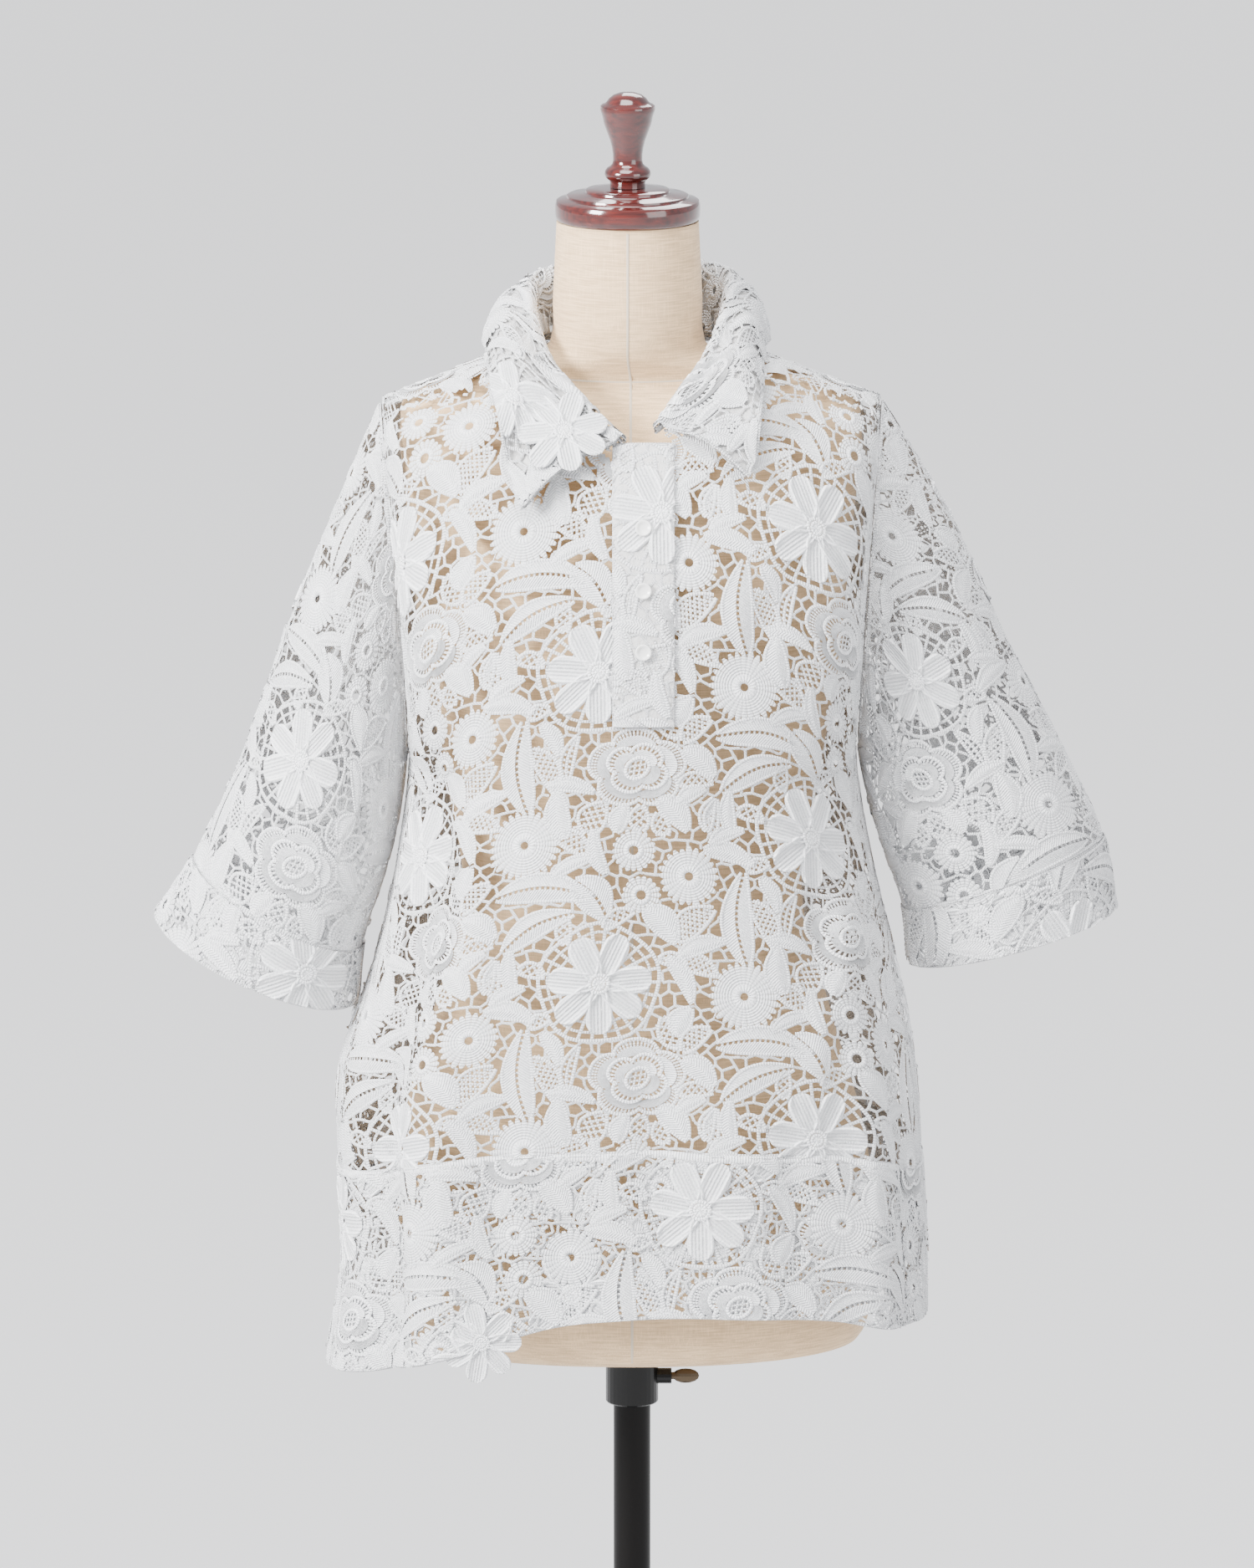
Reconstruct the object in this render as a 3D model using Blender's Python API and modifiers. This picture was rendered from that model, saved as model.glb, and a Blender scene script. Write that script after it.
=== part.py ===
"""Lace shirt on a limbless dress form with a pole and a round base.

Metres, +Z up. The origin is the middle of the base's underside, on the pole's axis, and the shirt faces -Y.
Right and left are the wearer's: right is -X and left is +X.
"""

import math

import bmesh
import bpy
import numpy as np

# Thicknesses and gaps
LACE = 0.0014
DOUBLE_LACE = 0.0026
SEAM_GAP = 0.0003
LAP_GAP = 0.0008
PLACKET_GAP = 0.0012

# Shirt body: distances from the pole's axis, by height
BODY_COLUMNS = ("z", "right", "left", "front", "back", "roundness")
BODY = (
    (0.700, 0.209, 0.201, 0.141, 0.124, 2.9),
    (0.780, 0.197, 0.200, 0.141, 0.122, 2.9),
    (0.850, 0.200, 0.197, 0.140, 0.119, 2.9),
    (0.910, 0.199, 0.193, 0.139, 0.116, 2.9),
    (0.980, 0.176, 0.180, 0.137, 0.113, 2.9),
    (1.060, 0.158, 0.161, 0.134, 0.112, 2.8),
    (1.130, 0.150, 0.151, 0.132, 0.115, 2.6),
    (1.200, 0.153, 0.154, 0.130, 0.119, 2.5),
    (1.260, 0.158, 0.158, 0.122, 0.118, 2.4),
    (1.310, 0.163, 0.162, 0.106, 0.113, 2.3),
    (1.353, 0.167, 0.166, 0.085, 0.104, 2.3),
    (1.372, 0.168, 0.167, 0.074, 0.097, 2.2),
    (1.420, 0.168, 0.167, 0.058, 0.086, 2.2),
)
RIDGE_ROUNDING = 0.040
RIDGE_ROWS = (0.0, 0.012, 0.035)
BACK_ROWS_START = 0.075
NECK_POINT_X = 0.062
NECK_POINT_Z = 1.4100
SHOULDER_TIP_X = 0.168
SHOULDER_TIP_Z = 1.3720
UNDERARM_Z = 1.130
ARMHOLE_HALF_DEPTH = 0.045
FRONT_NECK_Z = 1.353
BACK_NECK_Z = 1.396
NECKLINE_POWER = 1.6

# Hem-band seam and hem heights, by place across each panel (-1 right seam, 1 left seam)
HEM_COLUMNS = ("across", "front_seam", "front_hem", "back_seam", "back_hem")
HEM = (
    (-1.00, 0.845, 0.706, 0.845, 0.706),
    (-0.66, 0.869, 0.732, 0.856, 0.722),
    (-0.30, 0.877, 0.757, 0.862, 0.734),
    (0.00, 0.8795, 0.765, 0.864, 0.740),
    (0.42, 0.877, 0.765, 0.862, 0.742),
    (0.70, 0.872, 0.759, 0.858, 0.741),
    (0.87, 0.862, 0.748, 0.853, 0.740),
    (1.00, 0.846, 0.741, 0.846, 0.741),
)

# Share of the band's height left open at its seam
BAND_GAP_SHARE = 0.004

# How fast the folds fade out towards the side seams
FOLD_FADE_POWER = 12

# How many points each piece has across and down
FRONT_STEPS = 17
SLOT_STEPS = 6
BELOW_SLOT_POINTS = 10
BACK_STEPS = 16
BACK_POINTS_DOWN = 12
BAND_POINTS_DOWN = 5
SLEEVE_POINTS_ALONG = 10
SLEEVE_POINTS_AROUND = 9
CUFF_POINTS_ALONG = 4
CUFF_POINTS_AROUND = 13
SOLVER_STEPS = 12

# Folds that hang in the body: depth is how far each stands out, or in where negative
FOLD_COLUMNS = ("side", "across", "half_width", "depth", "starts_z", "full_z")
FRONT, BACK = -1, 1
FOLDS = (
    (FRONT, -0.66, 0.10, 0.009, 1.30, 0.90),
    (FRONT, -0.88, 0.09, -0.028, 1.22, 0.86),
    (FRONT, 0.83, 0.07, 0.008, 1.30, 0.90),
    (FRONT, 0.96, 0.05, -0.010, 1.10, 0.80),
    (FRONT, -0.25, 0.13, -0.004, 0.98, 0.78),
    (FRONT, 0.38, 0.15, 0.004, 1.10, 0.80),
    (BACK, -0.70, 0.12, 0.010, 1.25, 0.80),
    (BACK, -0.42, 0.10, -0.012, 1.20, 0.80),
    (BACK, 0.05, 0.16, 0.008, 1.25, 0.80),
    (BACK, 0.50, 0.11, -0.012, 1.20, 0.80),
    (BACK, 0.78, 0.10, 0.009, 1.25, 0.80),
)

# Sleeves: outer and inner edge of each flattened oval section, from the armhole to the cuff's edge
SLEEVE_COLUMNS = ("along", "outer_x", "outer_z", "inner_x", "inner_z", "half_depth", "droop")
CUFF_START, CUFF_END = 1.0, 1.2
SLEEVE_END_GAP = 0.004
SLEEVE_HEAD_EASE = {-1: 0.010, 1: 0.0055}
RIGHT_SLEEVE = (
    (0.00, 0.1680, 1.3720, 0.1540, 1.130, 0.045, 0.000),
    (0.25, 0.2010, 1.2950, 0.1575, 1.098, 0.052, 0.000),
    (0.50, 0.2340, 1.2120, 0.1640, 1.064, 0.057, 0.002),
    (0.75, 0.2640, 1.1270, 0.1740, 1.030, 0.060, 0.005),
    (1.00, 0.2980, 1.0550, 0.1850, 0.996, 0.060, 0.009),
    (1.20, 0.3250, 1.0150, 0.1890, 0.957, 0.061, 0.011),
)
LEFT_SLEEVE = (
    (0.00, 0.1670, 1.3720, 0.1550, 1.130, 0.045, 0.000),
    (0.25, 0.2140, 1.2930, 0.1600, 1.104, 0.050, 0.000),
    (0.50, 0.2550, 1.2020, 0.1670, 1.077, 0.053, 0.000),
    (0.75, 0.2910, 1.1330, 0.1760, 1.050, 0.054, 0.000),
    (1.00, 0.3200, 1.0690, 0.1860, 1.021, 0.053, 0.001),
    (1.20, 0.3290, 1.0200, 0.1900, 0.982, 0.053, 0.002),
)

# Turned-down collar, from the right leaf's front edge round the back to the left leaf's
COLLAR_COLUMNS = ("along", "fold_x", "fold_y", "fold_z", "edge_x", "edge_y", "edge_z")
COLLAR = (
    (0.000, -0.008, -0.0900, 1.3610, -0.0740, -0.1170, 1.3165),
    (0.070, -0.028, -0.0770, 1.3780, -0.0830, -0.0960, 1.3400),
    (0.170, -0.057, -0.0450, 1.4080, -0.0890, -0.0850, 1.3740),
    (0.280, -0.070, 0.0050, 1.4400, -0.0980, -0.0100, 1.4040),
    (0.390, -0.062, 0.0500, 1.4500, -0.0900, 0.0650, 1.4020),
    (0.500, 0.000, 0.0800, 1.4540, 0.0000, 0.1130, 1.3900),
    (0.610, 0.060, 0.0500, 1.4540, 0.0850, 0.0650, 1.4020),
    (0.720, 0.066, 0.0050, 1.4450, 0.0880, -0.0100, 1.4050),
    (0.830, 0.053, -0.0430, 1.4130, 0.0860, -0.0820, 1.3780),
    (0.930, 0.031, -0.0740, 1.3840, 0.0830, -0.0900, 1.3500),
    (1.000, 0.019, -0.0850, 1.3700, 0.0780, -0.1050, 1.3360),
)
COLLAR_STATIONS = 23
COLLAR_WALL = 0.0021
COLLAR_FOLD_RADIUS = 0.0035
COLLAR_SIDE_LIFT = 0.0014
COLLAR_SIDE_LIFT_POWER = 8

# How far the leaf stands out from a straight fall, and at what shares of the way down
COLLAR_UPPER_BELLY, COLLAR_UPPER_SHARE = 0.006, 0.33
COLLAR_LOWER_BELLY, COLLAR_LOWER_SHARE = 0.0048, 0.68

# Placket, with its buttons
PLACKET_X = 0.0075
PLACKET_HALF_WIDTH = 0.0200
SLOT_HALF_WIDTH = 0.0145
UNDERLAP_HALF_WIDTH = 0.0178
PLACKET_TOP_Z = 1.3480
PLACKET_BOTTOM_Z = 1.1720
SLOT_BOTTOM_Z = 1.1820
PLACKET_FOOT = 0.012
UNDERLAP_RISE = 0.004
SLOT_MIDDLE_Z = 1.260
COLUMNS_BESIDE_SLOT = 0.05
BUTTON_RADIUS = 0.0055
BUTTON_THICKNESS = 0.0022
BUTTON_FACE_RADIUS = 0.0047
BUTTON_Z = (1.302, 1.262, 1.222)

# Repeat of the lace: the large daisy, half-dropped, and the widest gaps that lie round it
REPEAT_ACROSS = 0.148
REPEAT_DOWN = 0.106
DAISY_RADIUS = 0.0335
DAISY_PETALS = 7
PETAL_NOTCH_SHARE = 0.52
PETAL_SHOULDER_SHARE = 0.48
DAISY_MIDDLE_SHARE = 0.5
DAISY_RELIEF = 0.0017
DAISY_ROOT = 0.0002
DAISY_MOST_SAG = 0.0008
EDGE_MARGIN = 0.010
GAP_COLUMNS = ("across", "up", "width", "height")
REPEAT_GAPS = (
    (-0.085, -0.014, 0.0115, 0.0090),
    (-0.046, -0.019, 0.0095, 0.0100),
    (-0.068, -0.051, 0.0080, 0.0115),
    (-0.040, -0.052, 0.0085, 0.0120),
    (-0.066, -0.090, 0.0130, 0.0100),
    (0.060, 0.046, 0.0100, 0.0105),
    (0.020, 0.056, 0.0110, 0.0085),
)
GAP_SIDES = 4
GAP_CUTTER_DEPTH = 0.0084

# Where one daisy of the repeat falls on each piece: across from its middle, up from its lower seam
REPEAT_ORIGINS = {
    "front": (-0.0225, 0.118),
    "back": (0.0200, 0.110),
    "sleeve_right_front": (-0.030, 0.110),
    "sleeve_right_back": (0.020, 0.070),
    "sleeve_left_front": (0.000, 0.155),
    "sleeve_left_back": (0.010, 0.080),
    "hem_front": (0.046, -0.037),
    "hem_back": (-0.030, -0.060),
}

# The band's one daisy that hangs past the hem
HEM_DAISY = (-0.104, -0.106)

# Dress form, by height
FORM_COLUMNS = ("z", "centre_x", "half_width", "front", "back", "roundness")
FORM = (
    (0.7200, 0.000, 0.156, 0.098, 0.096, 2.2),
    (0.7260, 0.000, 0.160, 0.103, 0.101, 2.2),
    (0.7900, 0.000, 0.166, 0.107, 0.108, 2.2),
    (0.8600, 0.000, 0.160, 0.104, 0.108, 2.2),
    (0.9400, 0.000, 0.138, 0.093, 0.092, 2.1),
    (1.0300, 0.000, 0.116, 0.085, 0.074, 2.1),
    (1.1100, 0.000, 0.127, 0.098, 0.083, 2.1),
    (1.2000, -0.001, 0.143, 0.117, 0.099, 2.2),
    (1.2600, -0.001, 0.148, 0.110, 0.103, 2.3),
    (1.3200, -0.001, 0.154, 0.086, 0.098, 2.4),
    (1.3550, -0.001, 0.1560, 0.058, 0.073, 2.2),
    (1.3774, -0.001, 0.1470, 0.036, 0.048, 2.0),
    (1.3896, -0.001, 0.1130, 0.032, 0.047, 2.0),
    (1.3975, -0.002, 0.0780, 0.037, 0.048, 2.0),
    (1.4050, -0.003, 0.0570, 0.041, 0.049, 2.0),
    (1.4150, -0.003, 0.0515, 0.044, 0.049, 2.0),
    (1.4400, -0.003, 0.0505, 0.047, 0.050, 2.0),
    (1.4930, -0.003, 0.0480, 0.046, 0.048, 2.0),
)
FORM_BOTTOM_Z = 0.7200
FORM_SEGMENTS = 26

# Stand
BASE_RADIUS = 0.170
BASE_FOOT_BEVEL = 0.0015
BASE_STEPS, POLE_STEPS, SOCKET_STEPS = 36, 24, 32
BASE_PROFILE = (
    (0.0190, 0.034),
    (0.0215, 0.014),
    (0.060, 0.011),
    (0.155, 0.008),
    (0.168, 0.006),
    (0.170, 0.003),
)
HUB_TOP_Z = 0.034
HUB_FLOOR_Z = 0.012
POLE_RADIUS = 0.0127
POLE_TOP_Z = 1.060
POLE_SLIDE_GAP = 0.0006
FORM_BORE_TOP_Z = 1.190
SOCKET_RADIUS = 0.0181
SOCKET_BOTTOM_Z = 0.6705
SOCKET_CHAMFER = 0.001
SCREW_Z = 0.6885
SCREW_RADIUS = 0.0026
SCREW_SIDES, BOSS_SIDES = 12, 16
BOSS_RADIUS = 0.0055
BOSS_END_X = 0.0272
THUMB_LENGTH = 0.0190
THUMB_HALF_HEIGHT = 0.0052
THUMB_HALF_THICKNESS = 0.0030
SCREW_TIP_GAP = 0.0004
SCREW_INTO_THUMB = 0.006
CUTTER_MARGIN = 0.001

# Turned wood, radius and height from the bottom up
TURNING_X = -0.003
CAP_BOTTOM_Z = 1.4933
CAP_STEPS, FINIAL_STEPS = 28, 16
CAP_PROFILE = (
    (0.0470, 0.0000),
    (0.0490, 0.0020),
    (0.0492, 0.0115),
    (0.0478, 0.0142),
    (0.0425, 0.0152),
    (0.0412, 0.0175),
    (0.0300, 0.0190),
    (0.0285, 0.0212),
    (0.0150, 0.0222),
)
FINIAL_BOTTOM_Z = 1.5158
FINIAL_PROFILE = (
    (0.0120, 0.0000),
    (0.0122, 0.0035),
    (0.0150, 0.0060),
    (0.0158, 0.0095),
    (0.0145, 0.0125),
    (0.0104, 0.0155),
    (0.0100, 0.0220),
    (0.0120, 0.0320),
    (0.0160, 0.0430),
    (0.0182, 0.0480),
    (0.0186, 0.0540),
    (0.0150, 0.0565),
    (0.0120, 0.0610),
    (0.0060, 0.0645),
)

NODE_COLLECTION = "lace_shirt_on_dress_form"
CUTTER_COLLECTION = "cutters"


def clear_scene():
    for thing in list(bpy.data.objects):
        bpy.data.objects.remove(thing, do_unlink=True)


def collection(name):
    made = bpy.data.collections.new(name)
    bpy.context.scene.collection.children.link(made)
    return made


def material(name, colour, roughness, metallic=0.0):
    made = bpy.data.materials.new(name)
    made.use_nodes = True
    surface = made.node_tree.nodes["Principled BSDF"]
    surface.inputs["Base Color"].default_value = (*colour, 1.0)
    surface.inputs["Roughness"].default_value = roughness
    surface.inputs["Metallic"].default_value = metallic
    return made


def add_object(name, bm, finish, group):
    """A new object from the bmesh, in one collection, with one material."""
    mesh = bpy.data.meshes.new(name)
    bm.to_mesh(mesh)
    bm.free()
    made = bpy.data.objects.new(name, mesh)
    group.objects.link(made)
    if finish:
        mesh.materials.append(finish)
        mesh.shade_smooth()
        mesh.set_sharp_from_angle(angle=math.radians(40))
    return made


def as_cutter(made):
    made.hide_render = True
    made.display_type = "WIRE"
    return made


def smooth(places, values, at):
    """A cubic through the points, whose slope at each is the mean of its two neighbours'."""
    places = np.asarray(places, float)
    values = np.asarray(values, float)
    at = np.clip(np.asarray(at, float), places[0], places[-1])
    steps = np.diff(values) / np.diff(places)
    slopes = np.concatenate([steps[:1], (steps[:-1] + steps[1:]) / 2, steps[-1:]])
    k = np.clip(np.searchsorted(places, at) - 1, 0, len(places) - 2)
    width = places[k + 1] - places[k]
    t = (at - places[k]) / width
    rise = values[k + 1] - values[k]
    start = slopes[k] * width
    end = slopes[k + 1] * width
    return values[k] + start * t + (3 * rise - 2 * start - end) * t**2 + (start + end - 2 * rise) * t**3


def read(columns, rows, wanted, at):
    """One named column of a table, at any value of its first column."""
    table = np.array(rows, float)
    return smooth(table[:, 0], table[:, columns.index(wanted)], at)


def half_width(z, across):
    right = read(BODY_COLUMNS, BODY, "right", z)
    left = read(BODY_COLUMNS, BODY, "left", z)
    return np.where(across < 0, right, left)


def shoulder_z(x):
    """Height of the shoulder's ridge, which slopes evenly from the neck point to the tip."""
    slope = (NECK_POINT_Z - SHOULDER_TIP_Z) / (SHOULDER_TIP_X - NECK_POINT_X)
    return NECK_POINT_Z - (np.abs(x) - NECK_POINT_X) * slope


def top_edge_z(side, x):
    """Height of a panel's top edge: the shoulder seam, and the neckline between the neck points."""
    lowest = FRONT_NECK_Z if side == FRONT else BACK_NECK_Z
    share = np.clip(np.abs(x) / NECK_POINT_X, 0, 1)
    neckline = lowest + (NECK_POINT_Z - lowest) * share**NECKLINE_POWER
    return np.where(np.abs(x) < NECK_POINT_X, neckline, shoulder_z(x))


def armhole_depth(z):
    """Half the distance between the front and back panels' edges at the armhole, and 0 below it."""
    middle = (SHOULDER_TIP_Z + UNDERARM_Z) / 2
    half = (SHOULDER_TIP_Z - UNDERARM_Z) / 2
    return ARMHOLE_HALF_DEPTH * np.sqrt(np.clip(1 - ((z - middle) / half) ** 2, 0, 1))


def body_point(side, across, down):
    """The shirt body's inner face: down is 0 at the top edge, 1 at the hem band's seam and 2 at the hem."""
    across, down = np.broadcast_arrays(np.asarray(across, float), np.asarray(down, float))
    top = np.full(across.shape, NECK_POINT_Z)
    for _ in range(4):
        top = top_edge_z(side, across * half_width(top, across))
    name = "front" if side == FRONT else "back"
    seam = read(HEM_COLUMNS, HEM, name + "_seam", across)
    hem = read(HEM_COLUMNS, HEM, name + "_hem", across)
    z = np.where(down <= 1, top + (seam - top) * down, seam + (hem - seam) * (down - 1))
    reach = half_width(z, across)
    x = across * reach
    power = read(BODY_COLUMNS, BODY, "roundness", z)
    depth = read(BODY_COLUMNS, BODY, name, z)
    bow = np.clip(1 - np.abs(across) ** power, 0, 1) ** (1 / power)
    below_ridge = np.clip((shoulder_z(x) - z) / RIDGE_ROUNDING, 0, 1)
    rounded = np.sqrt(1 - (1 - below_ridge) ** 2)
    edge = armhole_depth(z)
    out = rounded * (edge + (depth - edge) * bow)
    push = np.zeros(across.shape)
    for row in FOLDS:
        fold = dict(zip(FOLD_COLUMNS, row))
        if fold["side"] == side:
            grown = np.clip((fold["starts_z"] - z) / (fold["starts_z"] - fold["full_z"]), 0, 1)
            push += fold["depth"] * grown * np.exp(-(((across - fold["across"]) / fold["half_width"]) ** 2))
    sideways = np.sign(across) * np.abs(across) ** (power - 1) / reach
    outward = bow ** (power - 1) / depth
    length = np.hypot(sideways, outward)
    held = 1 - np.abs(across) ** FOLD_FADE_POWER
    x = x + push * held * sideways / length
    out = out + push * held * outward / length
    return np.stack([x, side * (out + SEAM_GAP / 2), z], axis=-1)


def even_columns(side, count):
    """Places across a panel that are evenly spaced round it at the height of its lower seam."""
    angle = np.linspace(-math.pi / 2, math.pi / 2, 400)
    across = np.sin(angle)
    points = body_point(side, across, 1.0)
    length = np.concatenate([[0], np.cumsum(np.linalg.norm(np.diff(points, axis=0), axis=1))])
    return np.interp(np.linspace(0, length[-1], count + 1), length, across)


def sleeve_point(side, face, around, along):
    """A sleeve's inner face: around is 0 at its top seam and 1 at its lower, and side is -1 on the right."""
    rows = RIGHT_SLEEVE if side < 0 else LEFT_SLEEVE
    around, along = np.broadcast_arrays(np.asarray(around, float), np.asarray(along, float))
    outer_x = read(SLEEVE_COLUMNS, rows, "outer_x", along)
    outer_z = read(SLEEVE_COLUMNS, rows, "outer_z", along)
    inner_x = read(SLEEVE_COLUMNS, rows, "inner_x", along)
    inner_z = read(SLEEVE_COLUMNS, rows, "inner_z", along)
    half_depth = read(SLEEVE_COLUMNS, rows, "half_depth", along)
    droop = read(SLEEVE_COLUMNS, rows, "droop", along)
    turn = around * math.pi
    x = (outer_x + inner_x) / 2 + (outer_x - inner_x) / 2 * np.cos(turn)
    z = (outer_z + inner_z) / 2 + (outer_z - inner_z) / 2 * np.cos(turn) - droop * np.sin(turn)
    y = face * (half_depth * np.sin(turn) + SEAM_GAP / 2)
    return np.stack([side * x, y, z], axis=-1)


class Cloth:
    """A grid of points on a piece of cloth, with each point's place on the flat piece it was cut from."""

    def __init__(self, name, points, seam_row, outward_sign):
        self.name = name
        self.points = points
        self.rows, self.columns = points.shape[0] - 1, points.shape[1] - 1
        down = np.gradient(points, axis=0)
        across = np.gradient(points, axis=1)
        normals = np.cross(down, across) * outward_sign
        self.normals = normals / np.linalg.norm(normals, axis=2, keepdims=True)
        steps = np.linalg.norm(np.diff(points, axis=1), axis=2)
        run = np.concatenate([np.zeros((self.rows + 1, 1)), np.cumsum(steps, axis=1)], axis=1)
        self.flat_across = run - run[:, [self.columns // 2]]
        steps = np.linalg.norm(np.diff(points, axis=0), axis=2)
        run = np.concatenate([np.zeros((1, self.columns + 1)), np.cumsum(steps, axis=0)], axis=0)
        self.flat_up = run[[seam_row], :] - run

    def sample(self, grid, row, column):
        """Bilinear value of a grid at fractional rows and columns, running on past its edges."""
        row, column = np.broadcast_arrays(np.asarray(row, float), np.asarray(column, float))
        r = np.clip(np.floor(row).astype(int), 0, self.rows - 1)
        c = np.clip(np.floor(column).astype(int), 0, self.columns - 1)
        fr, fc = row - r, column - c
        if grid.ndim == 3:
            fr, fc = fr[..., None], fc[..., None]
        above = grid[r, c] * (1 - fc) + grid[r, c + 1] * fc
        below = grid[r + 1, c] * (1 - fc) + grid[r + 1, c + 1] * fc
        return above * (1 - fr) + below * fr

    def find(self, across, up):
        """Fractional row and column of a place on the flat piece."""
        row = np.full(np.shape(across), self.rows / 2)
        column = np.full(np.shape(across), self.columns / 2)
        for _ in range(SOLVER_STEPS):
            ahead = self.sample(self.flat_across, row, column + 0.5)
            step = ahead - self.sample(self.flat_across, row, column - 0.5)
            column = column + (across - self.sample(self.flat_across, row, column)) / step
            ahead = self.sample(self.flat_up, row + 0.5, column)
            step = ahead - self.sample(self.flat_up, row - 0.5, column)
            row = row + (up - self.sample(self.flat_up, row, column)) / step
            row = np.clip(row, -1, self.rows + 1)
            column = np.clip(column, -1, self.columns + 1)
        return row, column

    def place(self, row, column, out):
        """A point moved out from the cloth's inner face."""
        return self.sample(self.points, row, column) + out * self.sample(self.normals, row, column)

    def margin(self, row, column):
        """Distance from a place to the nearest edge of the piece, below 0 past it."""
        here = self.sample(self.points, row, column)
        edges = []
        for edge_row, edge_column in ((0, column), (self.rows, column), (row, 0), (row, self.columns)):
            edges.append(np.linalg.norm(here - self.sample(self.points, edge_row, edge_column)))
        inside = 0 < row < self.rows and 0 < column < self.columns
        return min(edges) if inside else -min(edges)


def sheet_mesh(points, missing=lambda row, column: False):
    """A bmesh grid bent onto a grid of points, without the cells that are missing."""
    rows, columns = points.shape[0] - 1, points.shape[1] - 1
    bm = bmesh.new()
    bmesh.ops.create_grid(bm, x_segments=columns, y_segments=rows, size=1)
    doomed = []
    for face in bm.faces:
        middle = face.calc_center_median()
        row = int((middle.y + 1) / 2 * rows)
        column = int((middle.x + 1) / 2 * columns)
        if missing(row, column):
            doomed.append(face)
    for vertex in bm.verts:
        row = round((vertex.co.y + 1) / 2 * rows)
        column = round((vertex.co.x + 1) / 2 * columns)
        vertex.co = points[row, column]
    bmesh.ops.delete(bm, geom=doomed, context="FACES")
    return bm


def point_outwards(bm, points, normals):
    """Turns the faces of a sheet so that they look the way the cloth's normals do."""
    bm.faces.ensure_lookup_table()
    bm.normal_update()
    middle = bm.faces[len(bm.faces) // 2]
    gaps = np.linalg.norm(points - np.array(middle.calc_center_median()), axis=2)
    nearest = np.unravel_index(np.argmin(gaps), gaps.shape)
    if np.dot(normals[nearest], np.array(middle.normal)) < 0:
        bmesh.ops.reverse_faces(bm, faces=bm.faces)


def thicken(made, thickness):
    wall = made.modifiers.new("wall", "SOLIDIFY")
    wall.thickness = thickness
    wall.offset = 1
    wall.use_even_offset = False
    wall.use_quality_normals = True


def combine(made, other, operation):
    joined = made.modifiers.new(other.name, "BOOLEAN")
    joined.operation = operation
    joined.object = other
    joined.solver = "EXACT"


def daisy_outline():
    """The daisy's outline about its middle, three points to a petal."""
    outline = []
    for petal in range(DAISY_PETALS):
        middle = 2 * math.pi * (petal + 0.5) / DAISY_PETALS
        half = math.pi / DAISY_PETALS
        shoulder = half * PETAL_SHOULDER_SHARE
        for turn, share in ((-half, PETAL_NOTCH_SHARE), (-shoulder, 1.0), (shoulder, 1.0)):
            outline.append((math.cos(middle + turn) * share, math.sin(middle + turn) * share))
    return np.array(outline) * DAISY_RADIUS


def join_rings(bm, first, second):
    """Faces between two rings of points about one centre, which may have different numbers of points."""
    steps = max(len(first), len(second))
    for k in range(steps):
        corners = [first[k * len(first) // steps], first[(k + 1) * len(first) // steps % len(first)]]
        corners += [second[(k + 1) * len(second) // steps % len(second)], second[k * len(second) // steps]]
        bm.faces.new(list(dict.fromkeys(corners)))


def raised_daisies(cloth, centres, thickness, cutters):
    """Thick daisies that follow the cloth and stand out from it, in one helper object."""
    bm = bmesh.new()
    high = thickness + DAISY_RELIEF
    outline = daisy_outline()
    middle = outline[::3] / np.linalg.norm(outline[0]) * DAISY_RADIUS * DAISY_MIDDLE_SHARE
    eye = np.zeros((1, 2))
    for across, up in centres:
        rings = []
        for ring, out in (
            (eye, DAISY_ROOT),
            (middle, DAISY_ROOT),
            (outline, DAISY_ROOT),
            (outline, high),
            (middle, high),
            (eye, high),
        ):
            row, column = cloth.find(ring[:, 0] + across, ring[:, 1] + up)
            rings.append([bm.verts.new(point) for point in cloth.place(row, column, out)])
        for first, second in zip(rings, rings[1:]):
            join_rings(bm, first, second)
    bmesh.ops.recalc_face_normals(bm, faces=bm.faces)
    return as_cutter(add_object(cloth.name + "_daisies", bm, None, cutters))


def upright_frame(cloth, row, column):
    """Unit vectors across the cloth, up it and out of it, at one place."""
    normal = cloth.sample(cloth.normals, row, column)[0]
    normal /= np.linalg.norm(normal)
    side = np.cross((0, 0, 1), normal)
    side /= np.linalg.norm(side)
    return side, np.cross(normal, side), normal


def gap_cutters(cloth, centres, cutters):
    """Four-sided prisms through the wall, one for each gap, in one cutter."""
    bm = bmesh.new()
    for across, up, width, height in centres:
        row, column = cloth.find(np.array([across]), np.array([up]))
        middle = cloth.place(row, column, 0)[0]
        side, rise, normal = upright_frame(cloth, row, column)
        made = bmesh.ops.create_cone(
            bm, cap_ends=True, segments=GAP_SIDES, radius1=0.5, radius2=0.5, depth=1
        )
        for vertex in made["verts"]:
            x, y, z = vertex.co
            vertex.co = middle + side * x * width + rise * y * height + normal * z * GAP_CUTTER_DEPTH
    bmesh.ops.recalc_face_normals(bm, faces=bm.faces)
    return as_cutter(add_object(cloth.name + "_gaps", bm, None, cutters))


def repeat_places(cloth):
    """The places of the repeat's daisy on a piece, and a ring of them just past its edges."""
    start_across, start_up = REPEAT_ORIGINS[cloth.name]
    reach_across = int(np.abs(cloth.flat_across).max() / REPEAT_ACROSS) + 2
    reach_up = int(np.abs(cloth.flat_up).max() / REPEAT_DOWN) + 2
    for i in range(-reach_across, reach_across + 1):
        for j in range(-reach_up, reach_up + 1):
            if (i + j) % 2 == 0:
                yield start_across + i * REPEAT_ACROSS, start_up + j * REPEAT_DOWN


def one_place(cloth, across, up):
    row, column = cloth.find(np.array([across]), np.array([up]))
    return float(row[0]), float(column[0])


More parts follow.
